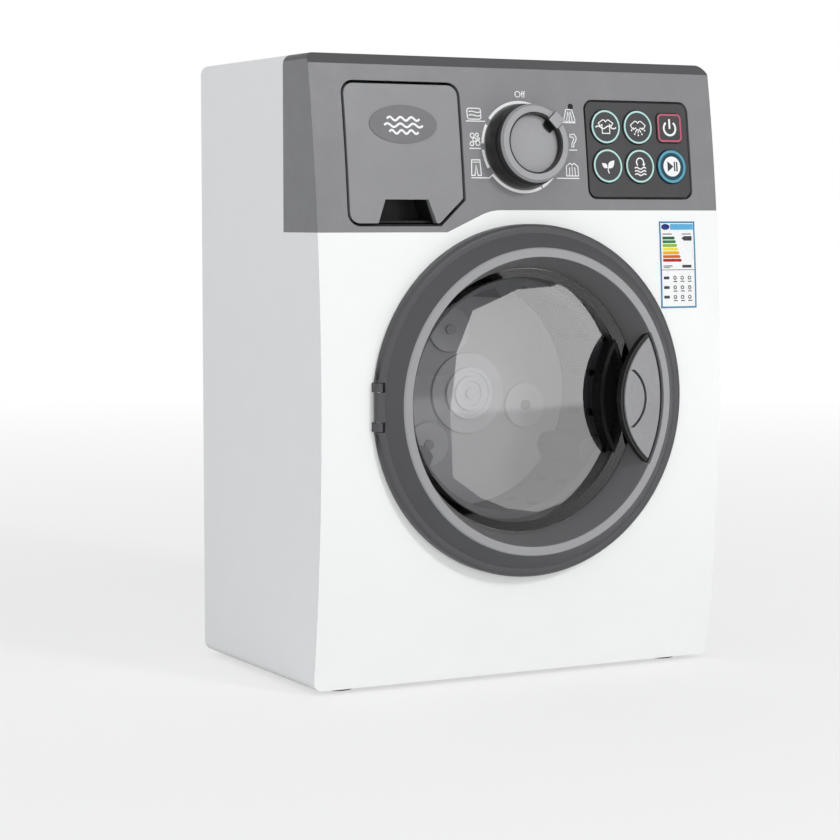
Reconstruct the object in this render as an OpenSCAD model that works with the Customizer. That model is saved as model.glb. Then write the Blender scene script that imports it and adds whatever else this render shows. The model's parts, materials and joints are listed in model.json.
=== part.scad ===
// Toy front-loading washing machine. Millimetres, +Z up, front towards -Y.
// The origin is on the floor, at the middle of the width and of the whole depth, door included.

/* [Body] */
// Width across the side walls
body_w = 196; // [192:1:206]
// Height from the floor to the top
body_h = 265; // [262:1:275]
// Depth of the rear shell, from its back to the seam
rear_d = 87; // [86:1:110]
// Depth of the front shell at its fullest point
front_d = 36; // [34:1:42]
// Thickness of the moulded shell walls
wall = 2.2; // [1.8:0.1:2.4]
// Radius of the swell of the front face
belly_r = 845; // [780:5:1200]
// Gap between the top of the door and the control panel
panel_gap = 5.8; // [4.8:0.1:7]
// Corner radius of the body, seen from the front
corner_r = 4; // [3:0.5:6]
// Width of the chamfer along the top front edge
edge_chamfer = 3.6; // [1:0.2:4.4]
// Height of the feet
foot_h = 2; // [1:0.5:3]
// Radius of a foot
foot_r = 7; // [5:0.5:9]

/* [Control panel] */
// Height of the panel's strip under the drawer
drawer_foot = 3.7; // [3.2:0.1:4.6]
// Height of the panel's strip under the key plate
pad_foot = 4.6; // [4:0.1:5.6]
// Where the slanted part of the panel's lower edge starts
ramp_x = -38; // [-42:1:-34]
// Slope of that edge, in degrees
ramp_slope = 23.5; // [20:0.5:30]
// Radius that eases the slope into the level edge
ramp_r = 25; // [5:1:40]
// Distance of the line of controls below the top
control_drop = 38; // [37:0.5:39]

/* [Dial] */
// Radius of the dial's dark skirt
dial_r = 18; // [17:0.25:19]
// How much narrower the dial's light face is than its skirt
dial_flare = 1.3; // [1:0.1:2.5]
// Height of the dial over the panel
dial_h = 12; // [10:0.5:14]
// Width of the dial's raised rim
dial_rim = 3.6; // [3:0.1:4.5]
// Depth of the dish inside the rim
dial_dish = 3.2; // [2:0.1:4]
// Radius of the dial's shaft
dial_shaft_r = 3; // [2.5:0.1:3.5]
// Direction of the dial's pointer, in degrees clockwise from the top
pointer_angle = 46; // [0:1:90]
// Side of the square pointer
pointer_w = 5.4; // [4:0.2:6]

/* [Keys] */
// Distance from the body's side to the key plate
pad_edge = 12.3; // [11.5:0.1:13.5]
// Margin beside the keys, out to the edge of the plate's opening
pad_side = 3.05; // [2.6:0.05:3.4]
// Margin above and below the keys, out to the edge of the plate's opening
pad_ends = 5.7; // [5.1:0.1:6.1]
// Corner radius of the opening
pad_r = 4.5; // [3:0.5:6]
// Dark groove all round the plate
pad_gap = 1; // [0.6:0.1:1.4]
// Radius of a round key
key_r = 7.4; // [6.8:0.1:7.6]
// Side of the square power key
power_key_w = 12.8; // [12:0.1:13.6]
// Gap round each key
key_gap = 0.25; // [0.2:0.05:0.4]
// Space from key to key along a row
key_space = 1.7; // [1.2:0.1:2.2]
// Space between the two rows of keys
key_row_space = 2.2; // [1.6:0.1:2.8]
// How far the keys move in
key_travel = 0.9; // [0.5:0.1:1]
// How far the keys stand out of the plate
key_proud = 0.8; // [0.6:0.1:1.2]

/* [Drawer] */
// Width of the drawer's front
drawer_w = 53.1; // [52:0.1:54]
// Height of the drawer's front
drawer_h = 57.5; // [56:0.5:58]
// Distance from the body's side to the drawer
drawer_edge = 15.1; // [14.6:0.1:16]
// Distance from the body's top to the drawer
drawer_drop = 12.2; // [11.8:0.1:12.8]
// Gap round the drawer's front
drawer_gap = 1.2; // [0.6:0.1:1.5]
// Corner radius of the drawer's front
drawer_r = 4.5; // [3:0.5:6]
// Width of the slanted lower corner
drawer_cut = 11.5; // [8:0.5:13]
// Depth of the tray behind the drawer's front
tray_d = 50; // [45:1:60]
// Height of the tray
tray_h = 33; // [28:1:36]
// Thickness of the tray and of its housing
tray_wall = 1.6; // [1.2:0.1:2]
// Height of the finger notch
notch_h = 9.8; // [8:0.2:10.4]
// Width of the finger notch at its top
notch_w = 20; // [18:0.5:22]
// Depth of the finger scoop behind the notch
scoop_d = 10; // [8:0.5:14]
// Width of the oval badge
badge_w = 31.5; // [26:0.5:36]
// Height of the oval badge
badge_h = 15.8; // [12:0.2:18]

/* [Door] */
// Radius of the crest, where dark frame and light bezel meet
crest_r = 65.2; // [64:0.1:66.4]
// Width of the dark frame outside the crest
frame_w = 9.8; // [9.4:0.1:10.4]
// Width of the light bezel inside the crest
bezel_w = 8.8; // [8.4:0.1:9.4]
// Height of the crest over the front
door_h = 10; // [9:0.5:12]
// Gap between the closed door and the front
door_gap = 0.4; // [0.3:0.05:0.6]
// Radius of the hinge knuckles, hidden in the door's rounded edge
knuckle_r = 1.9; // [1.8:0.05:2.2]
// Radius of the hinge pin
hinge_pin_r = 1; // [0.8:0.05:1]
// Length of the hinge
hinge_l = 20; // [18:0.5:24]
// Depth of the dish from the door's crest to the window's rim
dish_depth = 13.4; // [12:0.2:14]
// Width of the window's bevelled rim
rim_w = 3.9; // [3:0.1:5]
// Depth of the window's bevelled rim
rim_drop = 2.6; // [2:0.1:3.2]
// Rise of the domed window
dome_h = 2.8; // [1:0.2:4]
// Gap between the door's collar and the opening that it enters
opening_gap = 0.8; // [0.7:0.1:1.2]
// Distance of the finger pocket's left edge from the door's middle
pocket_x = 39.4; // [38:0.2:41]
// Radius of the arc along the pocket's left edge
pocket_arc_r = 45.6; // [43:0.2:48]
// Depth of the finger pocket behind the window
pocket_d = 6; // [4:0.25:6.5]
// Distance of the grip's left edge from the door's middle
grip_x = 40.7; // [39:0.1:43]
// Radius of the arc along the grip's left edge
grip_arc_r = 36; // [34:0.5:40]

/* [Drum] */
// How far the drum's wall lies inside the opening
drum_inset = 8; // [7.5:0.25:9.5]
// Wall of the drum
drum_wall = 1.8; // [1.5:0.1:2.2]
// Gap between the motor and the back wall
motor_gap = 5.5; // [3:0.5:7]
// Wall of the tub
tub_wall = 2; // [1.6:0.1:2.4]
// Number of lifters in the drum
lifters = 3; // [3:1:5]
// Height of a lifter
lifter_h = 7; // [5:0.5:9]
// Slots in each ring of the drum's wall
slots = 18; // [12:3:24]

/* [Drive] */
// Teeth of the gear on the drum's shaft
drum_teeth = 48; // [44:2:48]
// Teeth of the idler's small gear
idler_small_teeth = 12; // [12:1:13]
// Teeth of the idler's large gear
idler_large_teeth = 40; // [36:2:42]
// Teeth of the motor's pinion
pinion_teeth = 10; // [10:1:12]
// Size of the teeth: pitch diameter divided by their number
gear_module = 1; // [0.95:0.01:1.02]
// Radius of the drum's shaft
drum_shaft_r = 2.5; // [2:0.1:3]
// Radius of the motor
motor_r = 10; // [8:0.5:11]
// Length of the motor
motor_l = 24; // [20:0.5:25]

/* [Power] */
// Radius of a battery cell
cell_r = 7.1; // [6.9:0.05:7.25]
// Length of a battery cell
cell_l = 50.2; // [49.2:0.2:50.6]
// Number of cells
cells = 3; // [2:1:3]
// Height of the middle of the battery box
battery_z = 42; // [40:1:50]

/* [Energy label] */
// Width of the sticker
label_w = 18.5; // [16:0.5:20]
// Height of the sticker
label_h = 37.8; // [34:0.2:38]
// Distance from the body's side to the sticker
label_edge = 12.3; // [11:0.1:13]
// Distance of the sticker below the control panel
label_drop = 4.8; // [3:0.1:6]

/* [Hidden] */
$fn = 96;

white = "#f2f2f0";
panel_grey = "#8f8f91";
light_grey = "#a8a8aa";
dark_grey = "#5a5a5c";
black = "#222224";
steel = "#c4c6c8";
brass = "#c9a04a";
smoke = [0.35, 0.36, 0.38, 0.5];

// Clearances and small repeated sizes
slip = 0.15;
touch = 0.05;
running = 0.05;
over = 1;
belly_facets = 720;

// Radii of the door, and what lies in line with it
door_r = crest_r + frame_w;
window_r = crest_r - bezel_w;
window_lap = 1.2;
window_fit = 0.1;
window_edge_r = window_r + window_lap;
collar_wall = 1.5;
collar_in_r = window_edge_r + window_fit;
collar_r = collar_in_r + collar_wall;
opening_r = collar_r + opening_gap;
drum_r = opening_r - drum_inset;

// Rows of keys and the opening for their plate
key_pitch = 2 * key_r + key_space;
key_row_pitch = 2 * key_r + key_row_space;
pad_w = 2 * (key_pitch + key_r + pad_side);
pad_h = key_row_pitch + 2 * (key_r + pad_ends);
pad_x = body_w / 2 - pad_edge - pad_w / 2;

// Heights of the panel and of the middle of the door
panel_h_drawer = drawer_drop + drawer_h + drawer_foot;
panel_h_keys = control_drop + pad_h / 2 + pad_foot;
belly_z = body_h - panel_h_keys - panel_gap - door_r;

// Shell
back_y = (rear_d + front_d + door_h) / 2;
seam_y = back_y - rear_d;
front_y = seam_y - front_d;
side_x = body_w / 2;
function sag(z) = belly_r - sqrt(pow(belly_r, 2) - pow(z - belly_z, 2));
function face_y(z) = front_y + sag(z);
top_front_y = face_y(body_h);

// Posts that join the shells
post_r = 4.6;
post_x = side_x - wall - post_r - 0.4;
post_low_z = foot_h + wall + post_r + 5;
post_mid_drop = 13.6;
post_top_z = body_h - 11;
post_head_depth = 6;
shell_screw_r = 1.2;
shell_head_r = 2.8;
shell_head_h = 2;
shell_screw_bite = 8;

// Control panel
panel_low_z = body_h - panel_h_drawer;
post_mid_z = panel_low_z - post_mid_drop;
panel_high_z = body_h - panel_h_keys;
control_z = body_h - control_drop;
panel_tilt = asin((control_z - belly_z) / belly_r);
tab_w = 6;
tab_h = 6;
tab_t = 2;
tab_edge = 4;
tab_mid_xs = [2, 22];
tab_xs = concat([wall + tab_edge - side_x], tab_mid_xs, [side_x - wall - tab_edge]);

// Keys and board, by their distance behind the panel's face
plate_top = -0.3;
plate_t = 2.3;
plate_flange = 1.5;
plate_flange_t = 1.6;
plate_back = plate_top - plate_t;
flange_back = plate_back - plate_flange_t;
key_ear_top = plate_back - 0.3;
key_ear_t = 1;
key_stem_r = 3;
key_stem_end = key_ear_top - key_ear_t - 1.6;
dome_top = key_stem_end - key_travel - 0.1;
dome_rise = 0.8;
membrane_t = 1;
board_top = dome_top - dome_rise - membrane_t;
board_t = 1.6;
board_back = board_top - board_t;
board_x0 = drawer_edge - side_x + drawer_w + 9.8;
board_x1 = side_x - wall - 1.8;
board_half_h = 20;
board_boss_r = 2.4;
board_boss_y = board_half_h - 3;
board_boss_xs = [board_x0 + 3, board_x1 - 3];
board_screw_r = 0.9;
chip_xs = [8, 24, 38];
chip_y = -12;
chip_w = 8;
chip_h = 6;
chip_t = 2;
key_rise = 1.35;
key_ear_w = 2 * key_r - 1.4;

// Dial
dial_face_r = dial_r - dial_flare;
dial_up = 0.5;
dial_gap = 0.5;
dial_step = 7.4;
dial_wall_t = 0.8;
dial_disc_t = 1.2;
dial_hole_r = dial_shaft_r + 1.2;
switch_w = 15;
switch_h = 4.6;
pointer_frame = 0.8;
pointer_proud = 1;
pointer_seat = 0.5;
lamp_x = pad_x - pad_w / 2 - 6.4;
lamp_up = 18.3;
lamp_r = 1.2;

// Drawer
drawer_x0 = drawer_edge - side_x;
drawer_x1 = drawer_x0 + drawer_w;
drawer_z1 = body_h - drawer_drop;
drawer_z0 = drawer_z1 - drawer_h;
drawer_mid_x = (drawer_x0 + drawer_x1) / 2;
panel_back_y = face_y(control_z) + wall;
tray_inset = 3;
tray_x0 = drawer_x0 + tray_inset;
tray_x1 = drawer_x1 - tray_inset;
scoop_wall = 1.2;
tray_z0 = drawer_z0 + notch_h + scoop_wall + 0.8;
tray_back_y = panel_back_y + tray_d;
tray_room = 0.5;
tray_divider_x = tray_x0 + 0.6 * (tray_x1 - tray_x0);
rail_w = 3.6;
rail_h = 1.8;
rail_gap = 0.3;
housing_rim = 2.2;
notch_flare = 4;
badge_z = drawer_z1 - 16.6;
badge_t = 0.4;

// Door, in radius and height over the front's fullest point
door_z = belly_z;
skirt_drop = sag(door_z + door_r) + 1;
door_wall = 1.8;
back_ring_t = 2;
back_ring_top = door_gap + back_ring_t;
frame_shoulder_r = door_r - 3.7;
frame_shoulder_h = 4;
bezel_seat = 2.2;
window_t = 1.5;
dish_h = door_h - dish_depth;
lip_t = 1;
rim_h = dish_h - lip_t - touch;
face_r = window_r - rim_w;
face_h = rim_h - rim_drop;
collar_overhang = 0.6;
collar_end_h = rim_h - window_t - collar_overhang;
crest_w = 3.2;
crest_ease = 0.6;
crest_side_h = door_h - crest_ease;
neck_flare = 1.6;
neck_r = collar_r + neck_flare;
neck_h = back_ring_top - 1;
neck_low_h = neck_h - 1;
back_ring_r0 = neck_r + 0.2;
back_ring_r1 = door_r - door_wall - 0.2;
hinge_x = knuckle_r - door_r;
hinge_h = door_gap + knuckle_r;
hinge_y = front_y - hinge_h;
lug_h = 3.6;
hinge_space = 0.3;
lug_z = hinge_l / 2 - lug_h / 2;
bracket_t = 2;
bracket_gap = 0.3;
bracket_back_y = front_y + wall + bracket_gap + bracket_t;
bracket_x0 = hinge_x - 11;
bracket_x1 = hinge_x + 10;
bracket_h = 40;
bracket_post_r = 2.5;
bracket_post_x = hinge_x - 6.5;
bracket_post_z = 14;
door_boss_size = 2.1;
door_boss_r = frame_shoulder_r - door_boss_size - 0.8;
door_screw_r = 0.9;
door_screw_angles = [30, 90, 150, 210, 270, 330];

// Grip and pocket
pocket_wall = 1.5;
pocket_cx = pocket_x + pocket_arc_r;
pocket_out_r = face_r - 0.1;
pocket_floor_h = face_h - pocket_d;
pocket_rim = 1.5;
grip_cx = grip_x + grip_arc_r;
grip_out_r = crest_r - crest_w - 0.4;
grip_t = 3.25;
grip_top_h = door_h - 1.6;
grip_low_h = grip_top_h - grip_t;
cover_margin = 1.5;
cover_t = 1.1;

// Latch
hook_t = 2;
hook_w = 8;
hook_reach = 9;
hook_barb = 0.9;
latch_slot_w = hook_w + 2;
catch_w = 16;
catch_t = 1.6;
catch_d = 12;

// Drum, tub and seal, by their distance behind the front's fullest point
drum_mouth_depth = 15;
drum_mouth_y = front_y + drum_mouth_depth;
tub_gap = 3.7;
bush_out = 9;
gear_gap = 2;
drum_gear_t = 6;
step_gap = 1;
idler_gear_t = 5;
case_gap = 1.2;
case_t = 1.6;
back_plate_t = 2;
drum_to_case = back_plate_t + drum_wall + tub_gap + tub_wall + bush_out + gear_gap + drum_gear_t
    + 2 * step_gap + idler_gear_t + case_gap + case_t;
drum_back_y = back_y - wall - motor_gap - motor_l - drum_to_case;
plate_rise = 1.6;
drum_floor_y = drum_back_y + back_plate_t;
drum_end_y = drum_floor_y + drum_wall;
drum_lip = 1.6;
tub_in_r = opening_r + 0.3;
tub_r = tub_in_r + tub_wall;
hook_room = 4.4;
hook_x = tub_r + hook_room;
tub_floor_y = drum_end_y + tub_gap;
tub_end_y = tub_floor_y + tub_wall;
tub_ear_r = 4.5;
tub_ear_at = tub_r + tub_ear_r + 2;
tub_ear_y = front_y + wall + 6;
tub_ear_t = 2.2;
tub_boss_r = 3.4;
tub_screw_r = 1.1;
seal_in_r = drum_r + 1.5;
seal_front = 8;
seal_back = drum_mouth_depth - 1;
bush_r = 5;
bush_boss_r = 7;
bush_end_y = tub_end_y + bush_out;
hub_r = 11.6;
hub_screw_at = 29.9;
plate_hub_r = 18;
plate_lobe_r = 10;
hub_screw_a = 108;
slot_l = 12;
slot_w = 3.2;
slot_rows = 2;

// Drive
pressure_angle = 20;
backlash = 0.24;
addendum = 0.85;
dedendum = 1.2;
drum_gear_y = bush_end_y + gear_gap;
drum_shaft_end_y = drum_gear_y + drum_gear_t + step_gap;
idler_gear_y = drum_shaft_end_y + step_gap;
case_in_y = idler_gear_y + idler_gear_t + case_gap;
case_out_y = case_in_y + case_t;
idler_angle = 60;
motor_angle = 120;
idler_at = gear_module * (drum_teeth + idler_small_teeth) / 2;
motor_at = gear_module * (idler_large_teeth + pinion_teeth) / 2;
idler_x = idler_at * cos(idler_angle);
idler_z = door_z + idler_at * sin(idler_angle);
motor_x = idler_x + motor_at * cos(motor_angle);
motor_z = idler_z + motor_at * sin(motor_angle);
case_drum_r = gear_module * drum_teeth / 2 + 4;
case_idler_r = gear_module * idler_large_teeth / 2 + 4;
case_motor_r = motor_r + 3;
case_ear_r = 4.2;
idler_axle_r = 1.5;
idler_boss_r = 3.5;
motor_shaft_r = 1;
motor_cup_t = 1.4;
motor_cup_l = 8;
motor_bore_l = 12;
motor_shaft_l = 11;
idler_hub_l = 8.7;
idler_hub_r = 3.4;
gear_hub_r = 5;
gear_hole_at = 14;
gear_hole_r = 4;

// Power and sound
cell_pitch = 2 * cell_r + 0.8;
contact_room = 3.4;
bay_w = cell_l + 2 * contact_room;
bay_h = cells * cell_pitch + 1;
bay_wall = 1.6;
bay_d = 2 * cell_r + 1.2;
bay_lip = 2.5;
bay_front_y = back_y - wall - bay_d;
battery_door_t = 1.6;
battery_door_w = bay_w + 6;
battery_door_rise = 15;
battery_door_h = bay_h + battery_door_rise;
battery_screw_z = battery_z + bay_h / 2 + bay_wall + 2.9;
battery_boss_r = 2.6;
door_recess = 0.3;
speaker_x = 48;
speaker_rise = 34;
speaker_z = post_mid_z + speaker_rise;
speaker_r = 14;
speaker_h = 5;
speaker_ring_t = 1.4;
grille_w = 2;
grille_pitch = 4.4;
lamp_body_r = 2.5;
lamp_y = drum_mouth_y + 23;

// Label
label_t = 0.25;
label_x1 = side_x - label_edge;
label_z1 = panel_high_z - label_drop;

// A rod along Y, from y0 to y1
module rod(y0, y1, r) {
    translate([0, y0, 0]) rotate([-90, 0, 0]) cylinder(r = r, h = y1 - y0);
}

// A flat outline in x and z, made solid from y0 to y1
module slab(y0, y1) {
    translate([0, y1, 0]) rotate([90, 0, 0]) linear_extrude(height = y1 - y0) children();
}

// A box given by its lowest and its highest corner
module block(low, high) {
    translate(low) cube(high - low);
}

// A rectangle with round corners, about its middle
module round_rect(w, h, r) {
    square([w - 2 * r, h], center = true);
    square([w, h - 2 * r], center = true);
    for (sx = [-1, 1], sy = [-1, 1]) {
        translate([sx * (w / 2 - r), sy * (h / 2 - r)]) circle(r = r);
    }
}

// Points along an arc, from angle a0 to angle a1
function arc(cx, cy, r, a0, a1, steps = 8) =
    [for (i = [0:steps]) let (a = a0 + (a1 - a0) * i / steps) [cx + r * cos(a), cy + r * sin(a)]];

// Where the controls sit: x to the right, y up the slope, z out of the panel
module on_panel() {
    translate([0, face_y(control_z), control_z]) rotate([90 - panel_tilt, 0, 0]) children();
}

// Where the door sits: x to the right, y up, z outwards
module on_door() {
    translate([0, front_y, door_z]) rotate([90, 0, 0]) children();
}

// The big cylinder whose skin is the swelling front face
module belly(grow) {
    translate([0, front_y + belly_r, belly_z]) rotate([0, 90, 0])
        cylinder(r = belly_r + grow, h = 2 * body_w, center = true, $fn = belly_facets);
}

// The body's outline, as a bar along Y
module body_bar(inset, y0, y1) {
    slab(y0, y1) translate([0, (body_h + foot_h) / 2])
        round_rect(body_w - 2 * inset, body_h - foot_h - 2 * inset, corner_r - inset / 2);
}

// The space inside the front shell's skin, from the seam forwards
module front_volume(inset, y1) {
    difference() {
        intersection() {
            body_bar(inset, front_y - over, y1);
            belly(-inset);
        }
        translate([0, top_front_y, body_h]) rotate([45, 0, 0])
            translate([-body_w, -body_w / 4, -edge_chamfer * sin(45) - inset])
            cube([2 * body_w, body_w / 2, body_w / 4]);
    }
}

// The panel's lower edge: level, up the ramp, eased, level again
module above_panel_edge() {
    ease_z = panel_high_z - ramp_r * (1 - cos(ramp_slope));
    ease_x = ramp_x + (ease_z - panel_low_z) / tan(ramp_slope);
    ease_cx = ease_x + ramp_r * sin(ramp_slope);
    polygon(concat(
        [[-body_w, panel_low_z], [ramp_x, panel_low_z]],
        arc(ease_cx, panel_high_z - ramp_r, ramp_r, 90 + ramp_slope, 90),
        [[body_w, panel_high_z], [body_w, 2 * body_h], [-body_w, 2 * body_h]]
    ));
}

// A screw along -Y: its head behind y, its shank in front
module screw(y, head_r, head_h, shank_r, shank_l) {
    rod(y, y + head_h, head_r);
    rod(y - shank_l, y + over, shank_r);
}

// The places of the shell posts
module at_posts(heights) {
    for (sx = [-1, 1], z = heights) translate([sx * post_x, 0, z]) children();
}

// A post from the front face back to the seam, with a pilot hole
module front_post(z) {
    difference() {
        rod(face_y(z) + wall / 2, seam_y, post_r);
        rod(seam_y - shell_screw_bite - over, seam_y + over, shell_screw_r + touch);
    }
}

module rear_shell() color(white) {
    difference() {
        union() {
            difference() {
                body_bar(0, seam_y, back_y);
                body_bar(wall, seam_y - over, back_y - wall);
            }
            at_posts([post_low_z, post_mid_z, post_top_z]) rod(seam_y, back_y - wall / 2, post_r);
            translate([speaker_x, 0, speaker_z])
                rod(back_y - wall - speaker_h, back_y - wall / 2, speaker_r + slip + speaker_ring_t);
            translate([0, 0, battery_screw_z])
                rod(back_y - wall - shell_screw_bite, back_y - wall / 2, battery_boss_r);
        }
        translate([0, 0, battery_screw_z])
            rod(back_y - wall - shell_screw_bite - over, back_y + over, shell_screw_r + touch);
        at_posts([post_low_z, post_mid_z, post_top_z]) {
            rod(seam_y - over, back_y + over, shell_screw_r + 0.4);
            rod(seam_y + post_head_depth, back_y + over, shell_head_r + 0.4);
        }
        translate([speaker_x, 0, speaker_z]) {
            rod(back_y - wall - speaker_h - over, back_y - wall, speaker_r + slip);
            for (i = [-2:2]) {
                slot_half = sqrt(pow(speaker_r - 3, 2) - pow(i * grille_pitch, 2));
                block([-slot_half, back_y - wall - over, i * grille_pitch - grille_w / 2],
                      [slot_half, back_y + over, i * grille_pitch + grille_w / 2]);
            }
        }
        slab(back_y - wall - over, back_y + over)
            translate([0, battery_z]) square([bay_w, bay_h], center = true);
        slab(back_y - battery_door_t - slip, back_y + over)
            translate([0, battery_z]) round_rect(battery_door_w + 2 * slip, battery_door_h + 2 * slip, 2);
    }
}

module front_fascia() color(white) {
    difference() {
        union() {
            difference() {
                front_volume(0, seam_y);
                front_volume(wall, seam_y + over);
                slab(front_y - 2 * over, seam_y + 2 * over) above_panel_edge();
            }
            at_posts([post_low_z]) front_post(post_low_z);
            at_posts([post_mid_z]) front_post(post_mid_z);
            tub_bosses();
            for (sz = [-1, 1]) translate([bracket_post_x, 0, door_z + sz * bracket_post_z])
                rod(front_y + wall / 2, bracket_back_y, bracket_post_r);
            for (x = tab_xs) panel_tab(x, x < ramp_x ? panel_low_z : panel_high_z);
        }
        on_door() translate([0, 0, -2 * wall]) cylinder(r = opening_r, h = 4 * wall);
        for (sz = [-1, 1]) block(
            [hinge_x - knuckle_r - slip, front_y - over, door_z + sz * lug_z - lug_h / 2 - slip],
            [hinge_x + knuckle_r + slip, front_y + wall + over, door_z + sz * lug_z + lug_h / 2 + slip]);
        for (sz = [-1, 1]) translate([bracket_post_x, 0, door_z + sz * bracket_post_z])
            rod(front_y + wall, bracket_back_y + over, door_screw_r + touch);
        block([hook_x - 1.4, front_y - over, door_z - latch_slot_w / 2],
              [hook_x + hook_t + hook_barb + 1, front_y + wall + over, door_z + latch_slot_w / 2]);
    }
}

// Bosses behind the front that carry the tub
module tub_bosses() {
    for (a = [45, 135, 225, 315]) {
        z = door_z + tub_ear_at * sin(a);
        translate([tub_ear_at * cos(a), 0, z]) difference() {
            rod(face_y(z) + wall / 2, tub_ear_y, tub_boss_r);
            rod(tub_ear_y - 4, tub_ear_y + over, tub_screw_r + touch);
        }
    }
}

// A tab behind the front, at x, that reaches up behind the control panel's edge at height z
module panel_tab(x, z) {
    intersection() {
        slab(front_y, seam_y) translate([x - tab_w / 2, z - tab_h]) square([tab_w, tab_h]);
        difference() {
            belly(-wall / 2);
            belly(-wall - tab_t);
        }
    }
    intersection() {
        slab(front_y, seam_y) translate([x - tab_w / 2, z - over]) square([tab_w, tab_h + over]);
        difference() {
            belly(-wall - touch);
            belly(-wall - tab_t);
        }
    }
}

module control_panel() color(panel_grey) {
    difference() {
        union() {
            intersection() {
                difference() {
                    front_volume(0, seam_y);
                    front_volume(wall, seam_y + over);
                }
                slab(front_y - 2 * over, seam_y + 2 * over) above_panel_edge();
            }
            at_posts([post_top_z]) front_post(post_top_z);
            board_bosses();
        }
        slab(front_y - over, panel_back_y + 10) drawer_outline(drawer_gap);
        on_panel() {
            translate([pad_x, 0, -2 * wall]) linear_extrude(height = 4 * wall) round_rect(pad_w, pad_h, pad_r);
            translate([0, dial_up, -2 * wall]) cylinder(r = dial_hole_r, h = 4 * wall);
            translate([lamp_x, lamp_up, -2 * wall]) cylinder(r = lamp_r + slip, h = 4 * wall);
            for (x = board_boss_xs, sy = [-1, 1]) translate([x, sy * board_boss_y, board_top - over])
                cylinder(r = board_screw_r + touch, h = 5);
        }
    }
}

// Bosses behind the panel that carry the circuit board
module board_bosses() {
    on_panel() for (x = board_boss_xs, sy = [-1, 1]) translate([x, sy * board_boss_y, board_top])
        cylinder(r = board_boss_r, h = -board_top - wall / 2 - 0.4);
}

module foot_pads() color(black) {
    foot_ys = [(seam_y + face_y(foot_h)) / 2, back_y - foot_r - 6];
    for (sx = [-1, 1], y = foot_ys) translate([sx * (side_x - foot_r - 10), y, 0])
        cylinder(r = foot_r, h = foot_h);
}

module energy_label() color("white") {
    intersection() {
        slab(front_y - over, seam_y) translate([label_x1 - label_w, label_z1 - label_h])
            square([label_w, label_h]);
        difference() {
            belly(label_t);
            belly(0);
        }
    }
}

// Keys: number of the key from the left, then the row from the top
module at_key(column, row) {
    on_panel() translate([pad_x + (column - 1) * key_pitch, key_rise + (0.5 - row) * key_row_pitch, 0])
        children();
}

module square_key(grow) {
    round_rect(power_key_w + 2 * grow, power_key_w + 2 * grow, 2.4 + grow);
}

module key_plate() color(dark_grey) {
    difference() {
        on_panel() translate([pad_x, 0, 0]) {
            translate([0, 0, plate_back]) linear_extrude(height = plate_t)
                round_rect(pad_w - 2 * pad_gap, pad_h - 2 * pad_gap, pad_r - pad_gap);
            difference() {
                translate([0, 0, flange_back]) linear_extrude(height = plate_flange_t)
                    square([pad_w + 2 * plate_flange, pad_h + 2 * plate_flange], center = true);
                translate([0, 0, flange_back - over]) linear_extrude(height = plate_flange_t + over)
                    square([pad_w - 3 * pad_gap, pad_h - 3 * pad_gap], center = true);
            }
        }
        for (column = [0:2], row = [0:1]) at_key(column, row) translate([0, 0, plate_back - over]) {
            if (column == 2 && row == 0) {
                linear_extrude(height = plate_t + 2 * over) square_key(key_gap);
            } else {
                cylinder(r = key_r + key_gap, h = plate_t + 2 * over);
            }
        }
    }
}

// What every key has behind its cap: square ears and a stem
module key_base() {
    translate([0, 0, key_ear_top - key_ear_t]) linear_extrude(height = key_ear_t)
        square(key_ear_w, center = true);
    translate([0, 0, key_stem_end]) cylinder(r = key_stem_r, h = key_ear_top - key_stem_end);
}

module round_key(column, row) {
    at_key(column, row) {
        key_base();
        translate([0, 0, key_ear_top - touch])
            cylinder(r = key_r, h = plate_top + key_proud - key_ear_top + touch);
    }
}

module key_wash() color(dark_grey) round_key(0, 0);
module key_rinse() color(dark_grey) round_key(1, 0);
module key_gentle() color(dark_grey) round_key(0, 1);
module key_spin() color(dark_grey) round_key(1, 1);
module key_start() color("#1f4a5c") round_key(2, 1);

module key_power() color(dark_grey) {
    at_key(2, 0) {
        key_base();
        translate([0, 0, key_ear_top - touch])
            linear_extrude(height = plate_top + key_proud - key_ear_top + touch) square_key(0);
    }
}

module keypad_membrane() color("#d8d8d4") {
    on_panel() translate([pad_x, 0, board_top]) linear_extrude(height = membrane_t)
        round_rect(pad_w - 4 * pad_gap, pad_h - 4 * pad_gap, pad_r);
    for (column = [0:2], row = [0:1]) at_key(column, row) translate([0, 0, board_top])
        cylinder(r = key_stem_r + 1, h = membrane_t + dome_rise);
}

module circuit_board() color("#2f6b45") {
    on_panel() difference() {
        union() {
            translate([board_x0, -board_half_h, board_back])
                cube([board_x1 - board_x0, 2 * board_half_h, board_t]);
            for (x = chip_xs) translate([x, chip_y, board_back - chip_t]) cube([chip_w, chip_h, chip_t + touch]);
        }
        for (x = board_boss_xs, sy = [-1, 1]) translate([x, sy * board_boss_y, board_back - over])
            cylinder(r = board_screw_r + 0.2, h = board_t + 2 * over);
    }
}

module board_screws() color(steel) {
    on_panel() for (x = board_boss_xs, sy = [-1, 1]) translate([x, sy * board_boss_y, board_back]) {
        translate([0, 0, -1.4]) cylinder(r = 2, h = 1.4);
        cylinder(r = board_screw_r, h = board_t + 3);
    }
}

module mode_switch() color(black) {
    on_panel() translate([0, dial_up, board_top]) difference() {
        translate([-switch_w / 2, -switch_w / 2, 0]) cube([switch_w, switch_w, switch_h]);
        translate([0, 0, 0.5]) cylinder(r = dial_shaft_r + running, h = switch_h);
    }
}

module indicator_lamp() color(black) {
    on_panel() translate([lamp_x, lamp_up, board_top]) {
        cylinder(r = lamp_r, h = -board_top - 0.1);
        cylinder(r = lamp_r + 0.6, h = 1);
    }
}

// The dial turns about the panel's slope
module on_dial() {
    on_panel() translate([0, dial_up, 0]) children();
}

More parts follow.
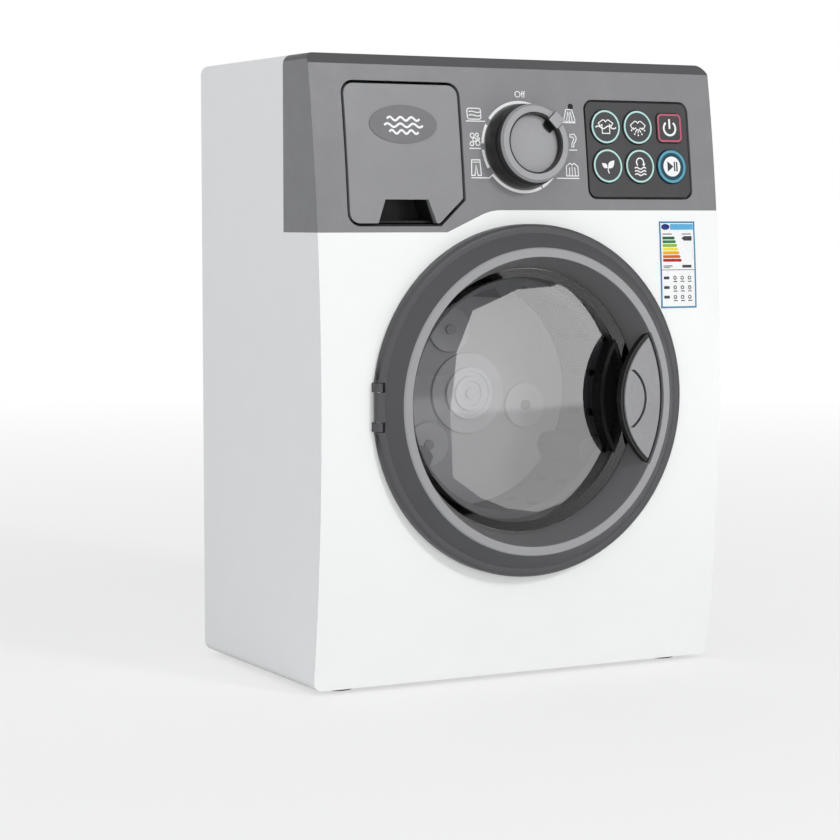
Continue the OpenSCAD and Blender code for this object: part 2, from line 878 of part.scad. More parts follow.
module dial_skirt() color(dark_grey) {
    in_r = dial_face_r - dial_rim;
    on_dial() difference() {
        rotate_extrude() polygon([
            [0, dial_gap], [dial_r, dial_gap], [dial_r, 3.2], [dial_face_r + 0.5, dial_step], [in_r, dial_step],
            [in_r, dial_h - 0.3], [in_r - dial_wall_t, dial_h - 0.3], [in_r - dial_wall_t, dial_step], [0, dial_step]
        ]);
        translate([0, 0, dial_gap - over]) cylinder(r = dial_shaft_r, h = dial_step - 1);
        pointer_cut(pointer_frame, dial_h - pointer_seat);
    }
}

// Room for the pointer across the dial's rim
module pointer_cut(grow, low) {
    rotate([0, 0, 90 - pointer_angle])
        translate([dial_face_r - pointer_w - 2 * pointer_frame, -pointer_w / 2 - grow, low])
        cube([pointer_w + 3 * pointer_frame + over, pointer_w + 2 * grow, dial_h]);
}

module dial_rim_ring() color(light_grey) {
    in_r = dial_face_r - dial_rim;
    on_dial() difference() {
        rotate_extrude() polygon([
            [in_r, dial_step], [dial_face_r, dial_step], [dial_face_r, dial_h - 1],
            [dial_face_r - 1, dial_h], [in_r, dial_h]
        ]);
        pointer_cut(pointer_frame, dial_h - pointer_seat);
    }
}

module dial_disc() color(light_grey) {
    on_dial() translate([0, 0, dial_step])
        cylinder(r = dial_face_r - dial_rim - dial_wall_t, h = dial_h - dial_dish - dial_step);
}

module dial_pointer() color(light_grey) {
    on_dial() rotate([0, 0, 90 - pointer_angle]) {
        translate([dial_face_r - pointer_w, -pointer_w / 2, dial_h - pointer_seat])
            cube([pointer_w, pointer_w, pointer_seat + pointer_proud]);
    }
}

module dial_shaft() color(steel) {
    on_dial() translate([0, 0, board_top + 0.7])
        cylinder(r = dial_shaft_r, h = dial_gap + dial_step - 2 - board_top - 0.7);
}

// Outline of the drawer's front, grown by g: three round corners and one slanted one
module drawer_outline(g) {
    r = drawer_r + g;
    x0 = drawer_x0 - g;
    x1 = drawer_x1 + g;
    z0 = drawer_z0 - g;
    z1 = drawer_z1 + g;
    cut = drawer_cut + g / 2;
    polygon(concat(
        arc(x0 + r, z0 + r, r, 180, 270),
        [[x1 - cut, z0], [x1, z0 + 0.9 * cut]],
        arc(x1 - r, z1 - r, r, 0, 90),
        arc(x0 + r, z1 - r, r, 90, 180)
    ));
}

// The finger notch at the drawer's lower edge, shrunk by s
module notch_outline(s) {
    polygon([
        [drawer_mid_x - notch_w / 2 - notch_flare + s, drawer_z0 + s - (s > 0 ? 0 : over)],
        [drawer_mid_x + notch_w / 2 + notch_flare - s, drawer_z0 + s - (s > 0 ? 0 : over)],
        [drawer_mid_x + notch_w / 2 - s, drawer_z0 + notch_h - s],
        [drawer_mid_x - notch_w / 2 + s, drawer_z0 + notch_h - s]
    ]);
}

module drawer_front() color(light_grey) {
    difference() {
        union() {
            intersection() {
                slab(front_y - over, seam_y) drawer_outline(0);
                difference() {
                    belly(0);
                    belly(-wall);
                }
            }
            intersection() {
                slab(front_y, panel_back_y + scoop_d + scoop_wall) notch_outline(-scoop_wall);
                belly(-wall / 2);
                slab(front_y, seam_y) drawer_outline(0);
            }
        }
        slab(front_y - over, panel_back_y + scoop_d) intersection() {
            notch_outline(0);
            translate([drawer_x0, drawer_z0 + scoop_wall]) square([drawer_w, drawer_h]);
        }
        slab(front_y - over, panel_back_y) notch_outline(0);
    }
}

module drawer_badge() color(panel_grey) {
    intersection() {
        slab(front_y - over, seam_y) translate([drawer_mid_x, badge_z])
            polygon([for (a = [0:7.5:352.5]) [badge_w / 2 * cos(a), badge_h / 2 * sin(a)]]);
        difference() {
            belly(badge_t);
            belly(0);
        }
    }
}

module drawer_tray() color("#b8b8ba") {
    tray_z1 = tray_z0 + tray_h;
    intersection() {
        belly(-wall);
        difference() {
            block([tray_x0, front_y, tray_z0], [tray_x1, tray_back_y, tray_z1]);
            block([tray_x0 + tray_wall, panel_back_y + 2 * tray_wall + sag_over_tray, tray_z0 + tray_wall],
                  [tray_divider_x, tray_back_y - tray_wall, tray_z1 + over]);
            block([tray_divider_x + tray_wall, panel_back_y + 2 * tray_wall + sag_over_tray,
                   tray_z0 + tray_wall],
                  [tray_x1 - tray_wall, tray_back_y - tray_wall, tray_z1 + over]);
        }
    }
}
sag_over_tray = sag(drawer_z1) - sag(control_z);

module drawer_housing() color(black) {
    x0 = tray_x0 - tray_room;
    x1 = tray_x1 + tray_room;
    z0 = drawer_z0 - 0.4;
    z1 = tray_z0 + tray_h + tray_room;
    difference() {
        intersection() {
            belly(-wall - touch);
            union() {
                block([x0 - tray_wall, front_y, z0 - tray_wall],
                      [x1 + tray_wall, tray_back_y + tray_room + tray_wall, z1 + tray_wall]);
                slab(front_y, panel_back_y + 3.4) intersection() {
                    drawer_outline(drawer_gap + housing_rim);
                    translate([-side_x, drawer_z0 - 3]) square([body_w, body_h]);
                }
            }
        }
        difference() {
            block([x0, front_y - over, z0], [x1, tray_back_y + tray_room, z1]);
            for (side = [[x0, x0 + rail_w], [x1 - rail_w, x1]]) block(
                [side[0], panel_back_y + 1.4, tray_z0 - rail_gap - rail_h],
                [side[1], tray_back_y + tray_room, tray_z0 - rail_gap]);
        }
    }
}

module hinge_bracket() color(dark_grey) {
    difference() {
        union() {
            block([bracket_x0, bracket_back_y - bracket_t, door_z - bracket_h / 2],
                  [bracket_x1, bracket_back_y, door_z + bracket_h / 2]);
            for (sz = [-1, 1]) translate([hinge_x, 0, door_z + sz * lug_z]) {
                block([-knuckle_r, hinge_y, -lug_h / 2], [knuckle_r, bracket_back_y, lug_h / 2]);
                translate([0, hinge_y, -lug_h / 2]) cylinder(r = knuckle_r, h = lug_h);
            }
        }
        translate([hinge_x, hinge_y, door_z - hinge_l]) cylinder(r = hinge_pin_r, h = 2 * hinge_l);
        for (sz = [-1, 1]) translate([bracket_post_x, 0, door_z + sz * bracket_post_z])
            rod(front_y, bracket_back_y + over, bracket_post_r + 0.1);
    }
}

module hinge_pin() color(steel) {
    translate([hinge_x, hinge_y, door_z - hinge_l / 2]) cylinder(r = hinge_pin_r, h = hinge_l);
}

module hinge_screws() color(steel) {
    for (sz = [-1, 1]) translate([bracket_post_x, 0, door_z + sz * bracket_post_z])
        screw(bracket_back_y, 3.6, 1.4, door_screw_r, bracket_t);
}

module latch_catch() color(black) {
    x0 = hook_x - 1.8;
    x1 = hook_x + hook_t + hook_barb + 1.4;
    y0 = front_y + wall + touch;
    difference() {
        block([x0 - catch_t, y0, door_z - catch_w / 2], [x1 + catch_t, y0 + catch_d, door_z + catch_w / 2]);
        block([x0, y0 - over, door_z - latch_slot_w / 2 - 0.4],
              [x1, y0 + catch_d - catch_t, door_z + latch_slot_w / 2 + 0.4]);
    }
}

// Section of the dark frame: skirt, rounded edge, slope up to the crest
module frame_section() {
    edge_r = 2;
    polygon(concat(
        [[door_r - door_wall, -skirt_drop], [door_r, -skirt_drop]],
        arc(door_r - edge_r, frame_shoulder_h - edge_r, edge_r, 0, 90, 6),
        [[frame_shoulder_r, frame_shoulder_h], [crest_r, crest_side_h], [crest_r, crest_side_h - bezel_seat],
         [frame_shoulder_r - 0.8, back_ring_top], [door_r - door_wall, back_ring_top]]
    ));
}

// The lens-shaped outlines of pocket and grip: an arc on the left, the door's round on the right
module lens(left_cx, left_r, right_r) {
    intersection() {
        translate([left_cx, 0]) circle(r = left_r);
        circle(r = right_r);
    }
}

module door_frame() color(dark_grey) {
    difference() {
        union() {
            difference() {
                on_door() {
                    rotate_extrude() frame_section();
                    for (a = door_screw_angles) rotate([0, 0, a]) translate([door_boss_r, 0, back_ring_top])
                        cylinder(r = door_boss_size, h = 2.6);
                }
                for (sz = [-1, 1]) hinge_notch(sz * lug_z, lug_h / 2 + hinge_space);
                hinge_notch(0, lug_z - lug_h / 2 + touch);
            }
            translate([hinge_x, hinge_y, door_z - lug_z + lug_h / 2 + hinge_space])
                cylinder(r = knuckle_r, h = 2 * lug_z - lug_h - 2 * hinge_space);
            block([hinge_x, hinge_y - knuckle_r, door_z - lug_z + lug_h / 2 + hinge_space],
                  [hinge_x + knuckle_r + over, hinge_y + knuckle_r, door_z + lug_z - lug_h / 2 - hinge_space]);
        }
        belly(door_gap);
        translate([hinge_x, hinge_y, door_z - hinge_l]) cylinder(r = hinge_pin_r + running, h = 2 * hinge_l);
        on_door() for (a = door_screw_angles) rotate([0, 0, a]) translate([door_boss_r, 0, 0])
            cylinder(r = door_screw_r + touch, h = back_ring_top + 2);
    }
}

// Room in the door's edge for the hinge lugs
module hinge_notch(dz, half) {
    block([-door_r - over, front_y - door_h - over, door_z + dz - half],
          [hinge_x + knuckle_r + hinge_space, front_y + skirt_drop + over, door_z + dz + half]);
}

module door_bezel() color(light_grey) {
    crest_in = crest_r - crest_ease - crest_w;
    crest_back_r = crest_r - 2;
    crest_back_h = crest_side_h - bezel_seat;
    on_door() difference() {
        rotate_extrude() polygon([
            [crest_r, crest_back_h], [crest_r, crest_side_h], [crest_r - crest_ease, door_h],
            [crest_in, door_h], [window_r, dish_h], [window_r, dish_h - lip_t],
            [collar_in_r, dish_h - lip_t], [collar_in_r, collar_end_h],
            [collar_r, collar_end_h], [collar_r, neck_low_h], [neck_r, neck_h], [neck_r, back_ring_top],
            [crest_back_r, back_ring_top], [crest_back_r, crest_back_h - 1.8]
        ]);
        translate([0, 0, grip_low_h - touch]) linear_extrude(height = door_h)
            lens(grip_cx, grip_arc_r + slip, grip_out_r + slip);
    }
}

// Height of the window's outer face at radius r
dome_r = (pow(face_r, 2) + pow(dome_h, 2)) / (2 * dome_h);
function dome_at(r) = face_h + dome_h - dome_r + sqrt(pow(dome_r, 2) - pow(r, 2));
dome_steps = 12;

module door_window() color(smoke) {
    bevel_top_r = window_r - 0.2;
    flange_back_r = window_r - 1;
    dome = [for (i = [0:dome_steps]) let (r = face_r * (1 - i / dome_steps)) [r, dome_at(r)]];
    on_door() difference() {
        rotate_extrude() polygon(concat(
            [for (i = [dome_steps:-1:0]) dome[i] - [0, window_t]],
            [[flange_back_r, rim_h - window_t], [window_edge_r, rim_h - window_t], [window_edge_r, rim_h],
             [bevel_top_r, rim_h]],
            dome
        ));
        translate([0, 0, -2 * door_h]) linear_extrude(height = 3 * door_h)
            lens(pocket_cx, pocket_arc_r + touch, pocket_out_r + touch);
    }
}

module door_back_ring() color(dark_grey) {
    on_door() difference() {
        translate([0, 0, door_gap]) cylinder(r = back_ring_r1, h = back_ring_t);
        cylinder(r = back_ring_r0, h = 2 * back_ring_top);
        for (a = door_screw_angles) rotate([0, 0, a]) translate([door_boss_r, 0, 0]) {
            cylinder(r = door_screw_r + 0.2, h = 2 * back_ring_top);
            cylinder(r = 1.8, h = door_gap + 1.2);
        }
        translate([-door_r, -hinge_l / 2 - 1, -over])
            cube([door_r + hinge_x + knuckle_r + over + slip, hinge_l + 2, 2 * back_ring_top]);
    }
}

module door_screws() color(steel) {
    on_door() for (a = door_screw_angles) rotate([0, 0, a]) translate([door_boss_r, 0, door_gap + 0.1]) {
        cylinder(r = 1.7, h = 1.1);
        cylinder(r = door_screw_r, h = back_ring_t + 1.6);
    }
}

module door_grip() color(black) {
    on_door() translate([0, 0, grip_low_h]) linear_extrude(height = grip_t)
        lens(grip_cx, grip_arc_r, grip_out_r);
}

module grip_cover() color(light_grey) {
    slot_r = 15;
    slot_t = 1.2;
    on_door() difference() {
        translate([0, 0, grip_top_h]) linear_extrude(height = cover_t)
            lens(grip_cx, grip_arc_r - cover_margin, grip_out_r - cover_margin);
        translate([grip_x + 12 - slot_r, 0, grip_top_h - over]) linear_extrude(height = cover_t + 2 * over)
            intersection() {
                difference() {
                    circle(r = slot_r + slot_t / 2);
                    circle(r = slot_r - slot_t / 2);
                }
                translate([0, -12.5]) square([2 * slot_r, 25]);
            }
    }
}

module finger_cup() color(black) {
    on_door() difference() {
        translate([0, 0, pocket_floor_h]) linear_extrude(height = pocket_d + pocket_rim)
            lens(pocket_cx, pocket_arc_r, pocket_out_r);
        translate([0, 0, pocket_floor_h + pocket_wall]) linear_extrude(height = 2 * door_h)
            lens(pocket_cx, pocket_arc_r - pocket_wall, pocket_out_r - pocket_wall);
    }
}

module latch_hook() color(black) {
    block([hook_x, front_y - door_gap, door_z - hook_w / 2],
          [hook_x + hook_t, front_y + hook_reach, door_z + hook_w / 2]);
    translate([hook_x + hook_t, front_y + hook_reach, door_z - hook_w / 2])
        linear_extrude(height = hook_w) polygon([[-touch, 0], [-touch, -3], [hook_barb, -1.5]]);
}

module drum_tub() color("#3c3c3e") {
    difference() {
        union() {
            translate([0, 0, door_z]) difference() {
                rod(front_y, tub_end_y, tub_r);
                rod(front_y - over, tub_floor_y, tub_in_r);
            }
            intersection() {
                translate([0, 0, door_z]) for (a = [45, 135, 225, 315])
                    translate([tub_ear_at * cos(a), 0, tub_ear_at * sin(a)])
                    rod(tub_ear_y + touch, tub_ear_y + tub_ear_t, tub_ear_r);
                body_bar(wall, front_y, seam_y);
            }
            translate([0, 0, door_z]) for (a = [45, 135, 225, 315]) rotate([0, -a, 0])
                block([tub_r - over, tub_ear_y + touch, -3], [tub_ear_at, tub_ear_y + tub_ear_t, 3]);
            translate([0, 0, door_z]) rod(tub_floor_y, bush_end_y - 1, bush_boss_r);
            translate([idler_x, 0, idler_z]) rod(tub_floor_y, idler_gear_y - 9, idler_boss_r);
        }
        difference() {
            block([-body_w, front_y - 2 * over, 0], [body_w, front_y + 4 * wall, body_h]);
            belly(-wall - touch);
        }
        translate([0, 0, door_z]) {
            for (a = [45, 135, 225, 315]) translate([tub_ear_at * cos(a), 0, tub_ear_at * sin(a)])
                rod(tub_ear_y - over, tub_ear_y + tub_ear_t + over, tub_screw_r + 0.2);
            rod(tub_floor_y - over, bush_end_y, bush_r);
        }
        translate([idler_x, 0, idler_z]) rod(tub_floor_y + 0.6, idler_gear_y, idler_axle_r + touch / 2);
        translate([0, lamp_y, door_z]) cylinder(r = lamp_body_r + touch, h = 2 * tub_r);
        for (at = case_ears) translate([at[0], 0, at[1]])
            rod(tub_floor_y - over, tub_end_y + over, tub_screw_r + touch);
    }
}

module tub_screws() color(steel) {
    translate([0, 0, door_z]) for (a = [45, 135, 225, 315])
        translate([tub_ear_at * cos(a), 0, tub_ear_at * sin(a)])
        screw(tub_ear_y + tub_ear_t, 2.6, 1.6, tub_screw_r, tub_ear_t + 3);
    for (at = case_ears) translate([at[0], 0, at[1]])
        screw(tub_end_y + 2, 2.6, 1.6, tub_screw_r, 3);
}

module door_seal() color(black) {
    seat_r = tub_in_r - 0.2;
    lip = 1.2;
    on_door() rotate_extrude() polygon([
        [seat_r, -seal_front], [seat_r, -seal_back], [seal_in_r, -seal_back],
        [seal_in_r, lip - seal_back], [seal_in_r + 2 * lip, 2 * lip - seal_back], [seat_r - 1.5, -seal_front]
    ]);
}

module drum_lamp() color("white") {
    translate([0, lamp_y, door_z]) {
        translate([0, 0, tub_in_r]) cylinder(r = lamp_body_r, h = tub_wall + 2);
        translate([0, 0, tub_r + 0.3]) cylinder(r = lamp_body_r + 1.5, h = 1.6);
    }
}

module shaft_bush() color(brass) {
    translate([0, 0, door_z]) difference() {
        union() {
            rod(tub_floor_y, bush_end_y, bush_r - touch / 2);
            rod(bush_end_y - 1 + touch, bush_end_y, bush_r + 1);
        }
        rod(tub_floor_y - over, bush_end_y + over, drum_shaft_r + running);
    }
}

module drum() color(dark_grey) {
    translate([0, 0, door_z]) difference() {
        union() {
            rotate([90, 0, 0]) rotate_extrude() polygon([
                [drum_shaft_r, -drum_end_y], [drum_r, -drum_end_y], [drum_r, -drum_mouth_y],
                [drum_r - drum_wall - drum_lip, -drum_mouth_y], [drum_r - drum_wall - drum_lip, -drum_mouth_y - 1.2],
                [drum_r - drum_wall, -drum_mouth_y - 2.4], [drum_r - drum_wall, -drum_floor_y],
                [drum_shaft_r, -drum_floor_y]
            ]);
            for (i = [0:lifters - 1]) rotate([0, -90 - i * 360 / lifters, 0]) lifter();
            rod(drum_floor_y, drum_end_y + 1.6, drum_shaft_r + 4);
        }
        rod(drum_floor_y - over, drum_end_y + 3, drum_shaft_r + touch / 2);
        for (row = [0:slot_rows - 1], i = [0:slots - 1]) rotate([0, (i + 0.5) * 360 / slots, 0])
            block([drum_r - 2 * drum_wall, slot_y(row), -slot_w / 2], [drum_r + over, slot_y(row) + slot_l, slot_w / 2]);
    }
}

// Start of a ring of slots in the drum's wall
function slot_y(row) = drum_mouth_y + 7 + row * (drum_floor_y - drum_mouth_y - 13 - slot_l) / (slot_rows - 1);

// A lifter: a low ridge along the drum's wall
module lifter() {
    foot = 9;
    slab_y1 = drum_back_y - 0.5;
    slab(drum_mouth_y + 4, slab_y1) polygon([
        [drum_r - drum_wall / 2, -foot], [drum_r - drum_wall - lifter_h, -2.5],
        [drum_r - drum_wall - lifter_h, 2.5], [drum_r - drum_wall / 2, foot]
    ]);
}

module drum_back_plate() color(panel_grey) {
    plate_r = drum_r - drum_wall - 0.3;
    translate([0, 0, door_z]) difference() {
        union() {
            rod(drum_back_y, drum_floor_y, plate_r);
            for (i = [0:lifters - 1]) {
                a = hub_screw_a + i * 360 / lifters;
                translate([hub_screw_at * cos(a), 0, hub_screw_at * sin(a)])
                    rod(drum_back_y - plate_rise, drum_floor_y, plate_lobe_r);
            }
            rod(drum_back_y - plate_rise, drum_floor_y, plate_hub_r);
        }
        rod(drum_back_y - 3, drum_floor_y + over, drum_shaft_r + 1.6);
        for (i = [0:lifters - 1]) {
            a = hub_screw_a + i * 360 / lifters;
            translate([hub_screw_at * cos(a), 0, hub_screw_at * sin(a)])
                rod(drum_back_y - 3, drum_floor_y + over, tub_screw_r + touch);
        }
    }
}

module hub_cap() color(light_grey) {
    translate([0, 0, door_z]) rotate([90, 0, 0]) translate([0, 0, plate_rise - drum_back_y]) rotate_extrude() polygon([
        [0, 0], [hub_r, 0], [hub_r, 1.6], [hub_r - 2, 1.6], [hub_r - 2, 1], [hub_r - 4, 1],
        [hub_r - 4, 2.6], [hub_r - 6.2, 2.6], [hub_r - 6.2, 1.8], [2.4, 1.8], [2.4, 3], [0, 3]
    ]);
}

module hub_screws() color(steel) {
    translate([0, 0, door_z]) for (i = [0:lifters - 1]) {
        a = hub_screw_a + i * 360 / lifters;
        translate([hub_screw_at * cos(a), drum_back_y - plate_rise, hub_screw_at * sin(a)]) {
            rod(-1.2, 0, 2.2);
            rod(-over, 3, tub_screw_r);
        }
    }
}

module drum_shaft() color(steel) {
    translate([0, 0, door_z]) {
        rod(drum_back_y, drum_shaft_end_y, drum_shaft_r);
        rod(drum_back_y - 1, drum_floor_y, drum_shaft_r + 1.4);
    }
}

// Angle between the start of an involute and the point at pressure angle a
function involute(a) = tan(a) * 180 / PI - a;

// Half the angle that a tooth fills at radius r
function tooth_half(teeth, r) =
    let (pitch_r = gear_module * teeth / 2, base_r = pitch_r * cos(pressure_angle))
    (PI * gear_module / 2 - backlash) / (2 * pitch_r) * 180 / PI
    + involute(pressure_angle) - involute(acos(base_r / max(r, base_r)));

// A spur gear's outline, with one tooth pointing along x
module gear_outline(teeth) {
    pitch_r = gear_module * teeth / 2;
    tip_r = pitch_r + addendum * gear_module;
    root_r = pitch_r - dedendum * gear_module;
    base_r = max(pitch_r * cos(pressure_angle), root_r + 0.01);
    radii = concat([root_r], [for (i = [0:4]) base_r + (tip_r - base_r) * i / 4]);
    polygon([for (i = [0:teeth - 1]) each concat(
        [for (r = radii) let (a = i * 360 / teeth - tooth_half(teeth, r)) [r * cos(a), r * sin(a)]],
        [for (k = [len(radii) - 1:-1:0])
            let (a = i * 360 / teeth + tooth_half(teeth, radii[k])) [radii[k] * cos(a), radii[k] * sin(a)]]
    )]);
}

module drum_gear() color("#e6e2d6") {
    translate([0, 0, door_z]) difference() {
        union() {
            slab(drum_gear_y, drum_gear_y + drum_gear_t) rotate(idler_angle) gear_outline(drum_teeth);
            rod(bush_end_y + 0.6, drum_gear_y + drum_gear_t, gear_hub_r);
        }
        rod(bush_end_y - over, drum_shaft_end_y + over, drum_shaft_r + touch / 2);
        for (a = [0:60:300]) rotate([0, a, 0]) translate([gear_hole_at, 0, 0])
            rod(drum_gear_y - over, drum_gear_y + drum_gear_t + over, gear_hole_r);
    }
}

module idler_gear() color("#e6e2d6") {
    translate([idler_x, 0, idler_z]) difference() {
        union() {
            slab(drum_gear_y, idler_gear_y + touch)
                rotate(idler_angle + 180 + 180 / idler_small_teeth) gear_outline(idler_small_teeth);
            slab(idler_gear_y, idler_gear_y + idler_gear_t) rotate(motor_angle) gear_outline(idler_large_teeth);
            rod(idler_gear_y - idler_hub_l, idler_gear_y, idler_hub_r);
        }
        rod(drum_gear_y - 9, idler_gear_y + idler_gear_t + over, idler_axle_r + running);
    }
}

module idler_axle() color(steel) {
    translate([idler_x, 0, idler_z]) rod(tub_floor_y + 0.6, case_out_y, idler_axle_r);
}

// Three joined rounds round the gears and the motor
module case_outline(shrink) {
    translate([0, door_z]) circle(r = case_drum_r - shrink);
    translate([idler_x, idler_z]) circle(r = case_idler_r - shrink);
    translate([motor_x, motor_z]) circle(r = case_motor_r - shrink);
}

case_ears = [
    [(case_drum_r + 2.4) * cos(190), door_z + (case_drum_r + 2.4) * sin(190)],
    [(case_drum_r + 2.4) * cos(280), door_z + (case_drum_r + 2.4) * sin(280)],
    [idler_x + (case_idler_r + 2.4) * cos(10), idler_z + (case_idler_r + 2.4) * sin(10)]
];

module gear_case() color("#d9d9d6") {
    difference() {
        union() {
            slab(tub_end_y + touch, case_out_y) case_outline(0);
            for (at = case_ears) translate([at[0], 0, at[1]]) rod(tub_end_y + touch, tub_end_y + 2, case_ear_r);
            translate([motor_x, 0, motor_z]) rod(case_in_y, case_out_y + motor_cup_l, motor_r + slip + motor_cup_t);
        }
        difference() {
            slab(tub_end_y - over, case_in_y) case_outline(case_t);
            translate([idler_x, 0, idler_z]) rod(case_in_y - 0.8, case_out_y, idler_boss_r);
        }
        translate([idler_x, 0, idler_z]) rod(case_in_y - 2, case_out_y + over, idler_axle_r + touch / 2);
        translate([motor_x, 0, motor_z]) {
            rod(case_out_y, case_out_y + motor_cup_l + over, motor_r + slip);
            rod(case_in_y - over, case_out_y + over, 3.2);
        }
        for (at = case_ears) translate([at[0], 0, at[1]]) {
            rod(tub_end_y - over, tub_end_y + 2 + over, tub_screw_r + 0.2);
            rod(tub_end_y + 2, case_out_y + over, 2.8);
        }
    }
}

module motor() color(steel) {
    translate([motor_x, 0, motor_z]) difference() {
        union() {
            rod(case_out_y + touch, case_out_y + motor_l, motor_r);
            rod(case_in_y + 0.2, case_out_y + over, 3);
        }
        rod(case_in_y - over, case_out_y + motor_bore_l, motor_shaft_r + running);
    }
}

module motor_pinion() color(brass) {
    translate([motor_x, 0, motor_z]) {
        slab(idler_gear_y - 0.3, idler_gear_y + idler_gear_t)
            rotate(motor_angle + 180 + 180 / pinion_teeth) gear_outline(pinion_teeth);
        rod(idler_gear_y, case_out_y + motor_shaft_l, motor_shaft_r);
    }
}

module battery_box() color("#d9d9d6") {
    difference() {
        slab(bay_front_y - bay_wall, back_y - wall - touch)
            translate([0, battery_z]) square([bay_w + 2 * bay_wall, bay_h + 2 * bay_wall], center = true);
        slab(bay_front_y, back_y) translate([0, battery_z]) square([bay_w, bay_h], center = true);
    }
}

// The cells lie across, alternately reversed, each with its pip and its two contacts
module battery_cells() color(brass) {
    for (i = [0:cells - 1]) {
        flip = i % 2 == 0 ? 1 : -1;
        z = battery_z + (i - (cells - 1) / 2) * cell_pitch;
        translate([0, bay_front_y + cell_r + 0.3, z]) rotate([0, flip * 90, 0]) {
            translate([0, 0, -cell_l / 2]) cylinder(r = cell_r, h = cell_l - 1.2);
            translate([0, 0, cell_l / 2 - 1.3]) cylinder(r = 2.7, h = 1.3);
            translate([0, 0, cell_l / 2]) cylinder(r = 4, h = contact_room - 0.1);
            translate([0, 0, -cell_l / 2 - contact_room + 0.1]) cylinder(r = 4, h = contact_room);
        }
    }
}

module battery_door() color(white) {
    difference() {
        slab(back_y - battery_door_t, back_y - door_recess)
            translate([0, battery_z]) round_rect(battery_door_w, battery_door_h, 2);
        translate([0, 0, battery_screw_z]) rod(back_y - 2 * wall, back_y + over, shell_screw_r + 0.2);
    }
}

module speaker() color(black) {
    translate([speaker_x, 0, speaker_z]) {
        rod(back_y - wall - speaker_h, back_y - wall - 0.2, speaker_r);
        rod(back_y - wall - speaker_h - 4, back_y - wall - speaker_h + touch, speaker_r / 2);
    }
}

module shell_screws() color(steel) {
    at_posts([post_low_z, post_mid_z, post_top_z])
        screw(seam_y + post_head_depth, shell_head_r, shell_head_h, shell_screw_r,
              post_head_depth + shell_screw_bite);
    translate([0, 0, battery_screw_z])
        screw(back_y - door_recess, shell_head_r - 0.4, 1, shell_screw_r, shell_screw_bite);
}

rear_shell();
front_fascia();
control_panel();
foot_pads();
energy_label();
key_plate();
keypad_membrane();
circuit_board();
board_screws();
mode_switch();
indicator_lamp();
key_wash();
key_rinse();
key_power();
key_gentle();
key_spin();
key_start();
dial_skirt();
dial_rim_ring();
dial_disc();
dial_pointer();
dial_shaft();
drawer_housing();
drawer_front();
drawer_tray();
drawer_badge();
hinge_bracket();
hinge_pin();
hinge_screws();
latch_catch();
door_frame();
door_bezel();
door_window();
door_back_ring();
door_screws();
door_grip();
grip_cover();
finger_cup();
latch_hook();
drum_tub();
tub_screws();
door_seal();
drum_lamp();
shaft_bush();
drum();
drum_back_plate();
hub_cap();
hub_screws();
drum_shaft();
drum_gear();
gear_case();
idler_axle();
idler_gear();
motor();
motor_pinion();
battery_box();
battery_cells();
battery_door();
speaker();
shell_screws();
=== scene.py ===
import json
import math

import bmesh
import bpy
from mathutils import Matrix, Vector
from mathutils.geometry import tessellate_polygon


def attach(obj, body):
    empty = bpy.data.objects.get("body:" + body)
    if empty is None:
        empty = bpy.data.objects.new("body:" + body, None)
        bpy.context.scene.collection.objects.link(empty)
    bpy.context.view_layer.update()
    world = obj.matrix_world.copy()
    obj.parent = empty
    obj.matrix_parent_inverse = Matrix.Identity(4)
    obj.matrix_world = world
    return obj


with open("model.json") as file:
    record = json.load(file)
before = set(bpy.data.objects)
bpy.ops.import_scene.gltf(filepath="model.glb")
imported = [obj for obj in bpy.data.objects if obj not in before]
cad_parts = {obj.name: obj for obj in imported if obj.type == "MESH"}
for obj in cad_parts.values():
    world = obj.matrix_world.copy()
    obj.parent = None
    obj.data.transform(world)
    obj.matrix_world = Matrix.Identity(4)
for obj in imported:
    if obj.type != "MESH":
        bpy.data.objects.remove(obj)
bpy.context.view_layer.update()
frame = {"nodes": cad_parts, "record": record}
nodes = frame["nodes"]

MM = 0.001
WHITE = (1, 1, 1, 1)

# Where the part's surfaces are, in mm, as in its source
BELLY_R = 845
BELLY_Z = 120
FRONT_Y = -56.5
PANEL_Z = 227
PANEL_TILT = math.asin((PANEL_Z - BELLY_Z) / BELLY_R)
DIAL_UP = 0.5
DISC_H = 9.3
KEY_COLUMNS = (42.25, 58.75, 75.25)
KEY_ROWS = (9.85, -7.15)
KEY_TOP = 0.5
KEY_R = 7.4
POWER_KEY_W = 12.8
POWER_KEY_R = 2.4
LABEL_LEFT, LABEL_RIGHT = 67.2, 85.7
LABEL_LOW, LABEL_HIGH = 158.2, 196.0
LABEL_T = 0.25
BADGE_X, BADGE_Z = -56.35, 236.2
BADGE_T = 0.4
CREST_IN = 61.1
WINDOW_FACE_R = 52.5
SCOOP_Y = -50.2
SCOOP_TOP_Z = 207.0
PLATE_Y = -2.4

# How moulded plastic varies, in mm: the sizes of its colour blotches, specks, uneven gloss and slow swell,
# and the swell's depth
BLOTCH = 16
SPECK = 1.1
UNEVEN_GLOSS = 5
SWELL = 9
SWELL_DEPTH = 0.02

# The finger cup's ribs. The wave texture that draws them repeats at this distance where its scale is 1.
RIB_PITCH = 0.754
RIB_DEPTH = 0.04
WAVE_REPEAT = math.pi / 10

# The smoked window: how strongly it mirrors, how fine the lines on its rim are and how softly the rim
# starts, both in mm
MIRROR_IOR = 2.0
RIM_LINE_PITCH = 1.3
RIM_EASE = 0.2

# Faces that meet at more than SHARP_ANGLE keep a sharp edge, and faces within FLAT_ANGLE count as one.
# Points this close together, in mm, are joined: in the nodes' meshes, and in lettering.
SHARP_ANGLE = math.radians(28)
FLAT_ANGLE = math.radians(0.4)
DOUBLED_POINTS = 0.002
DOUBLED_LETTER_POINTS = 0.001

